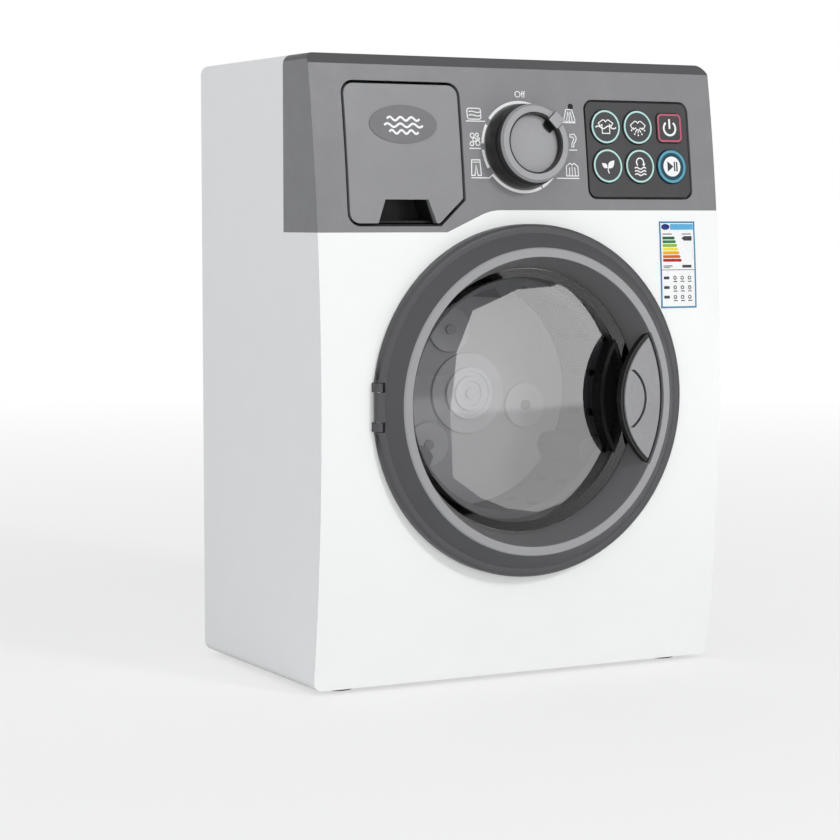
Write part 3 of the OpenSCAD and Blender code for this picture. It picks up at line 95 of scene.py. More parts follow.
# Prints stand this far above the surface and reach this far into it, and each of a print's shapes stands
# that little bit higher than the one before, in mm
INK = 0.06
SUNK = 0.05
NEXT_LAYER = 0.004


def face_y(z):
    return FRONT_Y + BELLY_R - math.sqrt(BELLY_R**2 - (z - BELLY_Z) ** 2)


def on_front(x, z, height):
    """A point that many mm in front of the bulged face."""
    return Vector((x, face_y(z) - height, z)) * MM


# The ways up along and straight out of the sloping plane of keys and dial
PANEL_UP = Vector((0, math.sin(PANEL_TILT), math.cos(PANEL_TILT)))
PANEL_OUT = Vector((0, -math.cos(PANEL_TILT), math.sin(PANEL_TILT)))


def on_panel(x, up, height):
    """A point in the sloping plane of keys and dial."""
    return (Vector((x, face_y(PANEL_Z), PANEL_Z)) + PANEL_UP * up + PANEL_OUT * height) * MM


# Materials


class ShaderTree:
    """The node tree of a new material or world, with short calls for its nodes and links."""

    def __init__(self, holder):
        holder.use_nodes = True
        self.holder = holder
        self.tree = holder.node_tree
        self.tree.nodes.clear()
        self.coordinates = self.add("ShaderNodeTexCoord").outputs["Object"]

    def add(self, kind, **values):
        made = self.tree.nodes.new(kind)
        for key, value in values.items():
            setattr(made, key, value)
        return made

    def link(self, source, target):
        self.tree.links.new(source, target)

    def noise(self, size_mm, detail=2.0):
        """Noise whose blobs are about that many mm wide."""
        made = self.add("ShaderNodeTexNoise")
        made.inputs["Scale"].default_value = 1 / (size_mm * MM)
        made.inputs["Detail"].default_value = detail
        self.link(self.coordinates, made.inputs["Vector"])
        return made.outputs["Fac"]

    def spread(self, source, low, high, from_low=0.3, from_high=0.7):
        """The source from low to high. Its own range is that of noise, unless another is given."""
        made = self.add("ShaderNodeMapRange")
        made.inputs["From Min"].default_value = from_low
        made.inputs["From Max"].default_value = from_high
        made.inputs["To Min"].default_value = low
        made.inputs["To Max"].default_value = high
        self.link(source, made.inputs["Value"])
        return made.outputs["Result"]

    def mix_colour(self, share, first, second):
        made = self.add("ShaderNodeMix", data_type="RGBA")
        self.link(share, made.inputs["Factor"])
        for socket, value in (("A", first), ("B", second)):
            target = [s for s in made.inputs if s.name == socket and s.type == "RGBA"][0]
            if isinstance(value, (tuple, list)):
                target.default_value = (*value, 1)
            else:
                self.link(value, target)
        return [s for s in made.outputs if s.type == "RGBA"][0]

    def door_radius(self):
        """Distance from the door's axis."""
        flat = self.add("ShaderNodeMapping")
        flat.inputs["Scale"].default_value = (1, 0, 1)
        flat.inputs["Location"].default_value = (0, 0, -BELLY_Z * MM)
        self.link(self.coordinates, flat.inputs["Vector"])
        length = self.add("ShaderNodeVectorMath", operation="LENGTH")
        self.link(flat.outputs["Vector"], length.inputs[0])
        return length.outputs["Value"]

    def facing(self, axis):
        """How far the true surface faces along the axis."""
        geometry = self.add("ShaderNodeNewGeometry")
        dot = self.add("ShaderNodeVectorMath", operation="DOT_PRODUCT")
        self.link(geometry.outputs["True Normal"], dot.inputs[0])
        dot.inputs[1].default_value = axis
        return dot.outputs["Value"]

    def split(self, vector):
        parts = self.add("ShaderNodeSeparateXYZ")
        self.link(vector, parts.inputs["Vector"])
        return parts.outputs

    def calculate(self, operation, *operands):
        """The result of a maths step on values and sockets."""
        made = self.add("ShaderNodeMath", operation=operation)
        for place, operand in zip(made.inputs, operands):
            if isinstance(operand, (int, float)):
                place.default_value = operand
            else:
                self.link(operand, place)
        return made.outputs["Value"]

    def bump(self, source, depth_mm, before=None):
        made = self.add("ShaderNodeBump")
        made.inputs["Distance"].default_value = depth_mm * MM
        made.inputs["Strength"].default_value = 1.0
        self.link(source, made.inputs["Height"])
        if before is not None:
            self.link(before, made.inputs["Normal"])
        return made.outputs["Normal"]

    def glow(self, strength):
        """White light of that strength, a number or a socket."""
        made = self.add("ShaderNodeEmission")
        made.inputs["Color"].default_value = WHITE
        if isinstance(strength, (int, float)):
            made.inputs["Strength"].default_value = strength
        else:
            self.link(strength, made.inputs["Strength"])
        return made.outputs["Emission"]

    def mix_shaders(self, share, first, second):
        made = self.add("ShaderNodeMixShader")
        self.link(share, made.inputs["Fac"])
        self.link(first, made.inputs[1])
        self.link(second, made.inputs[2])
        return made.outputs["Shader"]

    def principled(self, **values):
        """The common surface shader. An underscore stands for a space in its sockets' names."""
        made = self.add("ShaderNodeBsdfPrincipled")
        for key, value in values.items():
            made.inputs[key.replace("_", " ")].default_value = value
        return made

    def output(self, shader, kind="ShaderNodeOutputMaterial"):
        """Ends the tree with that shader and gives the finished material or world."""
        self.link(shader, self.add(kind).inputs["Surface"])
        return self.holder


def new_material(name):
    return ShaderTree(bpy.data.materials.new(name))


def shade(colour, factor):
    return tuple(min(1.0, c * factor) for c in colour)


def plastic(name, colour, rough, grain=0.25, grain_depth=0.006, mottle=0.05, specular=0.3, coat=0.0,
            second=None, mask=None):
    """Moulded plastic: fine grain, slow colour mottle and a slightly uneven gloss.

    Where mask gives 1, the second colour takes over.
    """
    tree = new_material(name)
    blotches = tree.spread(tree.noise(BLOTCH, detail=3), 0, 1)
    specks = tree.spread(tree.noise(SPECK), 0, 0.5)
    wide = tree.mix_colour(blotches, shade(colour, 1 - mottle), shade(colour, 1 + mottle))
    tone = tree.mix_colour(specks, wide, shade(colour, 1 - 1.5 * mottle))
    if mask is not None:
        tone = tree.mix_colour(mask(tree), tone, second)
    gloss = tree.spread(tree.noise(UNEVEN_GLOSS, detail=4), rough - 0.05, rough + 0.06)
    fine = tree.bump(tree.noise(grain), grain_depth)
    wavy = tree.bump(tree.noise(SWELL, detail=1), SWELL_DEPTH, before=fine)
    surface = tree.principled(Specular_IOR_Level=specular, Coat_Weight=coat, Coat_Roughness=0.12)
    tree.link(tone, surface.inputs["Base Color"])
    tree.link(gloss, surface.inputs["Roughness"])
    tree.link(wavy, surface.inputs["Normal"])
    return tree.output(surface.outputs["BSDF"])


def inside_crest(tree):
    """1 on the slope of the door's dish, 0 on its crest."""
    return tree.spread(tree.door_radius(), 1, 0, CREST_IN * MM, (CREST_IN + 0.3) * MM)


def split_at(tree, axis, edge_mm, blend_mm=0.2):
    """0 before and 1 behind that place along an axis."""
    return tree.spread(tree.split(tree.coordinates)[axis], 0, 1, edge_mm * MM, (edge_mm + blend_mm) * MM)


def scoop_painted_shade(tree):
    """1 deep in the drawer's finger notch, where near-black is painted as the notch's shade."""
    below = tree.calculate("SUBTRACT", 1.0, split_at(tree, "Z", SCOOP_TOP_Z))
    return tree.calculate("MULTIPLY", below, split_at(tree, "Y", SCOOP_Y, 0.6))


def painted_shade_behind_lobes(tree):
    """1 on the drum plate's ground, 0 on its raised lobes; the ground's darker grey is painted shade."""
    return split_at(tree, "Y", PLATE_Y)


def painted_shade_facing_up(tree):
    """1 where the panel faces upward, as on its sloped top edge; the darker grey there is painted shade."""
    return tree.spread(tree.facing((0, 0, 1)), 0, 1, 0.30, 0.36)


def dark_sides_and_painted_shade(tree):
    """1 on the sides of the dial's rim and pointer, 0 on their tops; outer wall dark as the skirt, other
    sides painted shade.
    """
    return tree.spread(tree.facing(PANEL_OUT), 1, 0, 0.55, 0.75)


def ribbed_plastic(name, colour, rough):
    """Black moulding with fine upright ribs, painted lighter on their crests and darker in their grooves as
    highlight and shade.
    """
    tree = new_material(name)
    ribs = tree.add("ShaderNodeTexWave", wave_type="BANDS", bands_direction="X")
    ribs.inputs["Scale"].default_value = WAVE_REPEAT / (RIB_PITCH * MM)
    ribs.inputs["Distortion"].default_value = 0.4
    tree.link(tree.coordinates, ribs.inputs["Vector"])
    # The ribs' colour bands are painted highlight on the crests and painted shade in the grooves
    tone = tree.mix_colour(ribs.outputs["Fac"], shade(colour, 0.6), shade(colour, 1.8))
    surface = tree.principled(Specular_IOR_Level=0.35)
    tree.link(tone, surface.inputs["Base Color"])
    tree.link(tree.spread(tree.noise(4), rough - 0.05, rough + 0.08), surface.inputs["Roughness"])
    tree.link(tree.bump(ribs.outputs["Fac"], RIB_DEPTH), surface.inputs["Normal"])
    return tree.output(surface.outputs["BSDF"])


def smoked(name, tint, rim_tint, line_tint, rough):
    """Smoked clear plastic: a tinted see-through body under a gloss, darker and lined on its bevelled rim."""
    tree = new_material(name)
    clear = tree.mix_colour(tree.spread(tree.noise(24), 0, 1), shade(tint, 0.97), shade(tint, 1.03))
    radius = tree.door_radius()
    between_lines = tree.calculate("PINGPONG", radius, RIM_LINE_PITCH * MM / 2)
    lined = tree.mix_colour(tree.spread(between_lines, 0, 1, 0.1 * MM, 0.3 * MM), line_tint, rim_tint)
    rim_start = (WINDOW_FACE_R - 0.5) * MM
    on_rim = tree.spread(radius, 0, 1, rim_start, rim_start + RIM_EASE * MM)
    through = tree.add("ShaderNodeBsdfTransparent")
    tree.link(tree.mix_colour(on_rim, clear, lined), through.inputs["Color"])
    gloss = tree.add("ShaderNodeBsdfGlossy")
    gloss.inputs["Color"].default_value = WHITE
    tree.link(tree.spread(tree.noise(12, detail=3), rough, rough + 0.012), gloss.inputs["Roughness"])
    fresnel = tree.add("ShaderNodeFresnel")
    fresnel.inputs["IOR"].default_value = MIRROR_IOR
    outside = tree.calculate("SUBTRACT", 1.0, tree.add("ShaderNodeNewGeometry").outputs["Backfacing"])
    share = tree.calculate("MULTIPLY", fresnel.outputs["Fac"], outside)
    return tree.output(tree.mix_shaders(share, through.outputs["BSDF"], gloss.outputs["BSDF"]))


def metal(name, colour, rough):
    """Worn metal: fine specks in its colour and finer ones in its gloss."""
    tree = new_material(name)
    wear = tree.spread(tree.noise(2, detail=3), 0, 1)
    tone = tree.mix_colour(wear, shade(colour, 0.88), shade(colour, 1.05))
    specks = tree.noise(0.5, detail=3)
    surface = tree.principled(Metallic=1.0)
    tree.link(tone, surface.inputs["Base Color"])
    tree.link(tree.spread(specks, rough - 0.06, rough + 0.12), surface.inputs["Roughness"])
    tree.link(tree.bump(specks, 0.004), surface.inputs["Normal"])
    return tree.output(surface.outputs["BSDF"])


def ink(name, colour, rough=0.45):
    """Printed ink: nearly even, with a little unevenness in cover."""
    tree = new_material(name)
    cover = tree.spread(tree.noise(0.5, detail=3), 0, 1)
    tone = tree.mix_colour(cover, shade(colour, 0.92), shade(colour, 1.05))
    surface = tree.principled(Specular_IOR_Level=0.4)
    tree.link(tone, surface.inputs["Base Color"])
    tree.link(tree.spread(tree.noise(1.5), rough - 0.05, rough + 0.05), surface.inputs["Roughness"])
    tree.link(tree.bump(tree.noise(0.3), 0.003), surface.inputs["Normal"])
    return tree.output(surface.outputs["BSDF"])


PLASTICS = {
    "shell_white": dict(colour=(0.86, 0.865, 0.86), rough=0.36, mottle=0.008, grain_depth=0.003, coat=0.15),
    # The panel's second, darker grey is painted shade on its upward faces
    "panel_grey": dict(colour=(0.225, 0.225, 0.23), rough=0.42, grain=0.3, grain_depth=0.008,
                       second=(0.09, 0.09, 0.095), mask=painted_shade_facing_up),
    # The drawer front's near-black second colour is painted shade deep in its finger notch
    "notched_grey": dict(colour=(0.26, 0.26, 0.265), rough=0.42, mottle=0.04, grain_depth=0.008,
                         second=(0.012, 0.012, 0.013), mask=scoop_painted_shade),
    "badge_grey": dict(colour=(0.17, 0.17, 0.175), rough=0.45),
    "tray_grey": dict(colour=(0.45, 0.45, 0.455), rough=0.45),
    "plate_dark": dict(colour=(0.058, 0.058, 0.06), rough=0.4, grain=0.2, mottle=0.06),
    "key_dark": dict(colour=(0.058, 0.058, 0.06), rough=0.38, grain=0.2, mottle=0.06),
    "key_teal": dict(colour=(0.012, 0.06, 0.085), rough=0.38, grain=0.2, mottle=0.06),
    "dial_dark": dict(colour=(0.022, 0.022, 0.023), rough=0.35, grain=0.2),
    "dial_light": dict(colour=(0.33, 0.33, 0.335), rough=0.38, mottle=0.04),
    # dial_ring's near-black second colour: the skirt's colour on the rim's outer wall, painted shade on the
    # dish's inner wall and the pointer's sides
    "dial_ring": dict(colour=(0.34, 0.34, 0.345), rough=0.38, mottle=0.04,
                      second=(0.022, 0.022, 0.023), mask=dark_sides_and_painted_shade),
    "door_dark": dict(colour=(0.078, 0.078, 0.081), rough=0.43, grain=1.4, grain_depth=0.002, mottle=0.02),
    "door_light": dict(colour=(0.27, 0.27, 0.275), rough=0.3, grain_depth=0.004),
    "bezel_two_tone": dict(colour=(0.31, 0.31, 0.315), rough=0.42, grain=1.4, grain_depth=0.002, mottle=0.02,
                           second=(0.14, 0.14, 0.143), mask=inside_crest),
    "lamp_dark": dict(colour=(0.012, 0.012, 0.013), rough=0.15, mottle=0.02, specular=0.5),
    "trim_black": dict(colour=(0.009, 0.009, 0.0095), rough=0.35, grain=0.2),
    "foot_rubber": dict(colour=(0.02, 0.02, 0.02), rough=0.75, grain=0.5, grain_depth=0.03, mottle=0.15),
    "drum_grey": dict(colour=(0.08, 0.08, 0.083), rough=0.45, grain=3.0, grain_depth=0.002, mottle=0.02),
    # The drum plate's darker second grey is painted shade on the ground behind its lobes
    "drum_plate": dict(colour=(0.44, 0.44, 0.445), rough=0.38, second=(0.34, 0.34, 0.343), mask=painted_shade_behind_lobes),
    "hub_light": dict(colour=(0.58, 0.58, 0.585), rough=0.36),
    "tub_dark": dict(colour=(0.03, 0.03, 0.032), rough=0.5),
    "inner_white": dict(colour=(0.6, 0.6, 0.58), rough=0.55, grain_depth=0.012),
    "gear_white": dict(colour=(0.75, 0.73, 0.68), rough=0.42, mottle=0.03),
    "membrane_grey": dict(colour=(0.6, 0.6, 0.58), rough=0.65, grain=0.4),
    "board_green": dict(colour=(0.03, 0.16, 0.07), rough=0.35, grain=0.15, mottle=0.12),
    "lamp_clear": dict(colour=(0.82, 0.82, 0.76), rough=0.15, mottle=0.02),
    "cell_wrap": dict(colour=(0.12, 0.2, 0.32), rough=0.3, mottle=0.08),
}
MATERIALS = {name: plastic(name, **look) for name, look in PLASTICS.items()}
MATERIALS["cup_black"] = ribbed_plastic("cup_black", (0.009, 0.009, 0.0095), 0.5)
MATERIALS["window_smoke"] = smoked("window_smoke", tint=(0.84, 0.84, 0.85), rim_tint=(0.5, 0.5, 0.51),
                                   line_tint=(0.08, 0.08, 0.08), rough=0.015)
MATERIALS["label_print"] = ink("label_print", (0.86, 0.86, 0.86), 0.3)
MATERIALS["screw_dark"] = metal("screw_dark", (0.16, 0.16, 0.17), 0.4)
MATERIALS["steel"] = metal("steel", (0.6, 0.6, 0.62), 0.3)
MATERIALS["brass"] = metal("brass", (0.7, 0.5, 0.2), 0.3)
OWN_FINISH = {
    "finger_cup": "cup_black", "door_bezel": "bezel_two_tone", "dial_rim_ring": "dial_ring",
    "drawer_front": "notched_grey", "dial_pointer": "dial_ring", "indicator_lamp": "lamp_dark",
    "hub_screws": "screw_dark",
}

for part in frame["record"]["subparts"]:
    chosen = MATERIALS[OWN_FINISH.get(part["node"], part["material_slot"])]
    for place in nodes[part["node"]].material_slots:
        place.material = chosen


# Edges: the sharp edges of these nodes get a fine radius, in mm, which catches the light


def smoothing_tree():
    """Joins doubled points and keeps an edge sharp only where it turns more than the sharp angle."""
    tree = bpy.data.node_groups.new("soft_edges", "GeometryNodeTree")
    tree.interface.new_socket("Geometry", in_out="INPUT", socket_type="NodeSocketGeometry")
    tree.interface.new_socket("Geometry", in_out="OUTPUT", socket_type="NodeSocketGeometry")
    start = tree.nodes.new("NodeGroupInput")
    end = tree.nodes.new("NodeGroupOutput")
    merge = tree.nodes.new("GeometryNodeMergeByDistance")
    merge.inputs["Distance"].default_value = DOUBLED_POINTS * MM
    tree.links.new(start.outputs[0], merge.inputs["Geometry"])
    last = merge
    for attribute in ("custom_normal", "sharp_edge", "sharp_face"):
        remove = tree.nodes.new("GeometryNodeRemoveAttribute")
        remove.inputs["Name"].default_value = attribute
        tree.links.new(last.outputs["Geometry"], remove.inputs["Geometry"])
        last = remove
    angle = tree.nodes.new("GeometryNodeInputMeshEdgeAngle")
    compare = tree.nodes.new("FunctionNodeCompare")
    compare.data_type = "FLOAT"
    compare.operation = "LESS_THAN"
    compare.inputs["B"].default_value = SHARP_ANGLE
    tree.links.new(angle.outputs["Unsigned Angle"], compare.inputs["A"])
    smooth = tree.nodes.new("GeometryNodeSetShadeSmooth")
    smooth.domain = "EDGE"
    tree.links.new(last.outputs["Geometry"], smooth.inputs["Geometry"])
    tree.links.new(compare.outputs["Result"], smooth.inputs["Shade Smooth"])
    tree.links.new(smooth.outputs["Geometry"], end.inputs[0])
    return tree


EDGE_RADII = {
    "control_panel": 0.35, "front_fascia": 0.3, "rear_shell": 0.3, "drawer_front": 0.3, "key_plate": 0.2,
    "dial_skirt": 0.2, "dial_rim_ring": 0.25, "dial_disc": 0.15, "dial_pointer": 0.15, "door_grip": 0.25,
    "drum": 0.25, "drum_back_plate": 0.3, "hub_cap": 0.2, "battery_door": 0.2, "drawer_tray": 0.2,
}
KEY_EDGE_RADIUS = 0.18
for key in ("wash", "rinse", "power", "gentle", "spin", "start"):
    EDGE_RADII["key_" + key] = KEY_EDGE_RADIUS
soft_edges = smoothing_tree()
for name, node in nodes.items():
    smooth = node.modifiers.new("soft_edges", "NODES")
    smooth.node_group = soft_edges
    if name in EDGE_RADII:
        flat = node.modifiers.new("flat_faces", "DECIMATE")
        flat.decimate_type = "DISSOLVE"
        flat.angle_limit = FLAT_ANGLE
        bevel = node.modifiers.new("edge_radius", "BEVEL")
        bevel.width = EDGE_RADII[name] * MM
        bevel.segments = 2
        bevel.limit_method = "ANGLE"
        bevel.angle_limit = SHARP_ANGLE
        bevel.harden_normals = True
        bevel.use_clamp_overlap = True


# Prints: thin closed solids of ink that follow the surface under them


def dense(loop, step=3.0):
    """The closed loop with no side longer than step."""
    points = []
    for (x0, y0), (x1, y1) in zip(loop, loop[1:] + loop[:1]):
        parts = max(1, math.ceil(math.hypot(x1 - x0, y1 - y0) / step))
        points += [(x0 + (x1 - x0) * i / parts, y0 + (y1 - y0) * i / parts) for i in range(parts)]
    return points


def circle(x, y, r, steps=48, start=0.0, end=360.0):
    """Points round a circle, or along an arc whose ends are both kept."""
    whole = abs(end - start) >= 360
    count = steps if whole else steps + 1
    angles = [math.radians(start + (end - start) * i / steps) for i in range(count)]
    return [(x + r * math.cos(a), y + r * math.sin(a)) for a in angles]


def ring(x, y, outer, inner, steps=64):
    return [circle(x, y, outer, steps), circle(x, y, inner, steps)]


def arc_band(x, y, outer, inner, start, end, steps=24):
    return [circle(x, y, outer, steps, start, end) + circle(x, y, inner, steps, start, end)[::-1]]


def rect(x0, y0, x1, y1):
    return [(x0, y0), (x1, y0), (x1, y1), (x0, y1)]


def round_rect(x0, y0, x1, y1, r, steps=6):
    points = []
    corners = ((x1 - r, y0 + r, 270), (x1 - r, y1 - r, 0), (x0 + r, y1 - r, 90), (x0 + r, y0 + r, 180))
    for cx, cy, start in corners:
        points += circle(cx, cy, r, steps, start, start + 90)
    return points


# A sharp corner's mitre reaches at most the line's width
LEAST_LEAN = 0.5


def stroke(points, width, closed=False):
    """Outline loops of a line of that width through the points, with mitred corners."""
    count = len(points)
    left, right = [], []
    for i, (x, y) in enumerate(points):
        before = points[i - 1] if i > 0 or closed else None
        after = points[(i + 1) % count] if i < count - 1 or closed else None
        ways = []
        if before is not None:
            ways.append(Vector((x - before[0], y - before[1])).normalized())
        if after is not None:
            ways.append(Vector((after[0] - x, after[1] - y)).normalized())
        along = sum(ways, Vector((0, 0)))
        along = along.normalized() if along.length > 1e-6 else ways[0]
        side = Vector((-along.y, along.x))
        lean = max(LEAST_LEAN, abs(side.dot(Vector((-ways[0].y, ways[0].x)))))
        reach = width / 2 / lean
        left.append((x + side.x * reach, y + side.y * reach))
        right.append((x - side.x * reach, y - side.y * reach))
    if closed:
        return [left, right]
    return [left + right[::-1]]


def moved(loops, x, y, scale=1.0):
    return [[(x + px * scale, y + py * scale) for px, py in loop] for loop in loops]


def add_solid(mesh, loops, place, low, high):
    """Adds the area inside the loops to mesh as a closed solid between two heights."""
    loops = [dense(loop) for loop in loops]
    flat = [point for loop in loops for point in loop]
    top = [mesh.verts.new(place(x, y, high)) for x, y in flat]
    bottom = [mesh.verts.new(place(x, y, low)) for x, y in flat]
    for triangle in tessellate_polygon([[Vector((x, y, 0)) for x, y in loop] for loop in loops]):
        if len(set(triangle)) == 3:
            mesh.faces.new([top[i] for i in triangle])
            mesh.faces.new([bottom[i] for i in reversed(triangle)])
    first = 0
    for loop in loops:
        count = len(loop)
        for i in range(count):
            a, b = first + i, first + (i + 1) % count
            mesh.faces.new([top[a], bottom[a], bottom[b], top[b]])
        first += count


def new_object(name, data, body):
    """Adds a piece that rides on a body."""
    made = bpy.data.objects.new(name, data)
    bpy.context.scene.collection.objects.link(made)
    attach(made, body)


def print_piece(name, body, shapes, place, material, base=0.0):
    """Adds one printed piece. Each shape stands a little above the one before, so that none share a face."""
    mesh = bmesh.new()
    for i, loops in enumerate(shapes):
        add_solid(mesh, loops, place, base - SUNK, base + INK + NEXT_LAYER * i)
    bmesh.ops.recalc_face_normals(mesh, faces=mesh.faces)
    data = bpy.data.meshes.new(name)
    mesh.to_mesh(data)
    mesh.free()
    data.materials.append(material)
    new_object(name, data, body)


WHITE_INK = ink("white_ink", (0.85, 0.85, 0.85))
MINT_INK = ink("mint_ink", (0.45, 0.72, 0.68))
PINK_INK = ink("pink_ink", (0.5, 0.09, 0.16))
BLUE_INK = ink("blue_ink", (0.09, 0.33, 0.45))
DARK_INK = ink("dark_ink", (0.03, 0.035, 0.04))


def letters(name, body, words, size, x, z, place, material):
    """Adds generic lettering, centred on the point, as a closed solid."""
    curve = bpy.data.curves.new(name, "FONT")
    curve.body = words
    curve.size = size
    curve.align_x = "CENTER"
    curve.align_y = "CENTER"
    curve.extrude = (INK + SUNK) / 2
    curve.resolution_u = 4
    holder = bpy.data.objects.new(name + "_curve", curve)
    bpy.context.scene.collection.objects.link(holder)
    bpy.context.view_layer.update()
    data = bpy.data.meshes.new_from_object(holder)
    bpy.data.objects.remove(holder)
    for vertex in data.vertices:
        px, py, pz = vertex.co
        vertex.co = place(x + px, z + py, pz + (INK - SUNK) / 2)
    mesh = bmesh.new()
    mesh.from_mesh(data)
    bmesh.ops.remove_doubles(mesh, verts=mesh.verts, dist=DOUBLED_LETTER_POINTS * MM)
    bmesh.ops.recalc_face_normals(mesh, faces=mesh.faces)
    mesh.to_mesh(data)
    mesh.free()
    data.materials.clear()
    data.materials.append(material)
    new_object(name, data, body)


# The dial's white ring, broken where the programme lines reach it, and those lines
RING_OUT, RING_IN = 19.7, 18.5
RING_ARCS = ((-62, -38), (-28, -2), (6, 30), (38, 142), (151, 176), (184, 208), (218, 296))
LINE_W = 0.42
PROGRAMME_LINES = (
    ((-26.4, 238.1), (-17.2, 238.1)),
    ((-25.6, 226.65), (-20.0, 226.65)),
    ((-25.4, 214.35), (-16.8, 214.35), (-14.6, 216.0)),
    ((18.6, 238.25), (27.3, 238.25)),
    ((20.2, 226.55), (27.3, 226.55)),
    ((16.4, 214.45), (27.7, 214.45)),
)


def round_dial(x, up, height):
    """A point of the bulged face, from the height of the dial's centre along the slope."""
    return on_front(x, PANEL_Z + up * math.cos(PANEL_TILT), height)


ring_shapes = [arc_band(0, DIAL_UP, RING_OUT, RING_IN, start, end) for start, end in RING_ARCS]
print_piece("dial_ring_print", "cabinet", ring_shapes, round_dial, WHITE_INK)
line_shapes = [stroke(points, LINE_W) for points in PROGRAMME_LINES]
print_piece("programme_lines", "cabinet", line_shapes, on_front, WHITE_INK)


# Painted shade: a flat black print for the notch beside the dial's pointer
NOTCH_SHADE = ((12.7, -2.9), (12.7, 2.9), (9.6, 2.2), (9.0, 0.8), (9.3, -2.6))
POINTER_TURN = math.radians(44)


def turned(points, angle):
    c, s = math.cos(angle), math.sin(angle)
    return [(x * c - y * s, x * s + y * c) for x, y in points]


def on_disc(x, up, height):
    return on_panel(x, DIAL_UP + up, DISC_H + height)


print_piece("pointer_notch_painted_shade", "dial", [[turned(NOTCH_SHADE, POINTER_TURN)]], on_disc, MATERIALS["trim_black"])


# Programme marks beside the dial
MARK_W = 0.4


def wave(x0, x1, y, rise, turns, steps=24):
    shares = [i / steps for i in range(steps + 1)]
    return [(x0 + (x1 - x0) * share, y + rise * math.sin(2 * math.pi * turns * share)) for share in shares]


def mark_cotton():
    """Folded towels: a rounded block with two wavy folds."""
    return [
        stroke(round_rect(-3.3, -2.3, 3.3, 2.3, 1.1), MARK_W, closed=True),
        stroke(wave(-2.6, 3.0, 0.8, 0.25, 1.0), MARK_W),
        stroke(wave(-2.6, 3.0, -0.7, 0.25, 1.0), MARK_W),
    ]


def mark_flakes():
    """A cluster of bubbles."""
    bubbles = (
        (-1.2, 1.9, 0.95), (1.1, 2.2, 0.7), (-0.2, 0.1, 0.8),
        (-1.6, -1.6, 0.85), (1.3, -1.3, 1.0), (1.7, 0.5, 0.5),
    )
    return [stroke(circle(x, y, r, 20), MARK_W, closed=True) for x, y, r in bubbles]


def mark_trousers():
    outline = [(-1.9, 3.1), (1.9, 3.1), (2.2, -3.1), (0.7, -3.1), (0.0, 1.0), (-0.7, -3.1), (-2.2, -3.1)]
    return [stroke(outline, MARK_W, closed=True), stroke([(-1.6, 2.2), (1.6, 2.2)], MARK_W * 0.8)]


def mark_curtain():
    """A hanging curtain with its folds."""
    return [
        stroke([(-2.9, -2.4), (-1.5, 2.5), (1.5, 2.5), (2.9, -2.4)], MARK_W),
        stroke([(-1.4, -2.2), (-0.6, 1.6)], MARK_W),
        stroke([(1.4, -2.2), (0.6, 1.6)], MARK_W),
        stroke([(0, -2.4), (0, 1.2)], MARK_W),
        stroke(wave(-2.9, 2.9, -2.6, 0.2, 3.0), MARK_W * 0.8),
    ]


def mark_sock():
    outline = [
        (-1.5, 2.7), (0.5, 2.9), (1.5, 1.4), (1.2, -0.2), (0.2, -1.1), (0.1, -2.6), (-0.9, -2.6),
        (-0.7, -0.8), (0.3, 0.5), (-0.2, 1.6), (-1.6, 1.6),
    ]
    return [stroke(outline, MARK_W, closed=True)]


def mark_shirt():
    outline = [(-1.0, 2.7), (-2.9, 1.4), (-3.0, -2.7), (3.0, -2.7), (2.9, 1.4), (1.0, 2.7), (0.0, 2.0)]
    return [
        stroke(outline, MARK_W, closed=True),
        stroke([(-1.5, -2.4), (-1.3, 0.9)], MARK_W),
        stroke([(1.5, -2.4), (1.3, 0.9)], MARK_W),
        stroke([(0.0, -2.4), (0.0, 1.4)], MARK_W * 0.8),
    ]


# Each mark's drawing, its centre and its scale
MARKS = {
    "mark_cotton": (mark_cotton, -22.4, 241.2, 1.0),
    "mark_flakes": (mark_flakes, -22.7, 230.2, 1.0),
    "mark_trousers": (mark_trousers, -22.9, 218.6, 1.05),
    "mark_curtain": (mark_curtain, 24.4, 241.4, 1.0),
    "mark_sock": (mark_sock, 25.7, 230.5, 1.0),
    "mark_shirt": (mark_shirt, 24.3, 218.2, 1.0),
}
OFF_X, OFF_Z = 0.5, 249.7
OFF_SIZE = 4.0

for name, (draw, x, z, scale) in MARKS.items():
    print_piece(name, "cabinet", [moved(loops, x, z, scale) for loops in draw()], on_front, WHITE_INK)
letters("off_mark", "cabinet", "Off", OFF_SIZE, OFF_X, OFF_Z, on_front, WHITE_INK)


# Prints on the keys: a coloured ring and a white sign each


def key_place(column, row):
    return lambda x, y, h: on_panel(KEY_COLUMNS[column] + x, KEY_ROWS[row] + y, KEY_TOP + h)


RING_W = 0.75
RING_INSET = 0.25
SIGN_W = 0.55
THIN_SIGN_W = SIGN_W * 0.8


def sign_wash():
    """A shirt that stands in water."""
    shirt = [
        (-1.9, -2.9), (-1.9, 0.9), (-2.9, 0.3), (-3.7, 1.5), (-1.6, 2.9), (-0.8, 2.9), (0, 2.1), (0.8, 2.9),
        (1.6, 2.9), (3.7, 1.5), (2.9, 0.3), (1.9, 0.9), (1.9, -2.9),
    ]
    water = wave(-5.2, 5.2, -0.3, 0.55, 2.0)
    return [stroke(shirt, THIN_SIGN_W, closed=True), stroke(water, SIGN_W)]


DROP_ANGLES = (205, 240, 270, 300, 335)
DROPS_Y = 0.2
DROP_R = 0.38


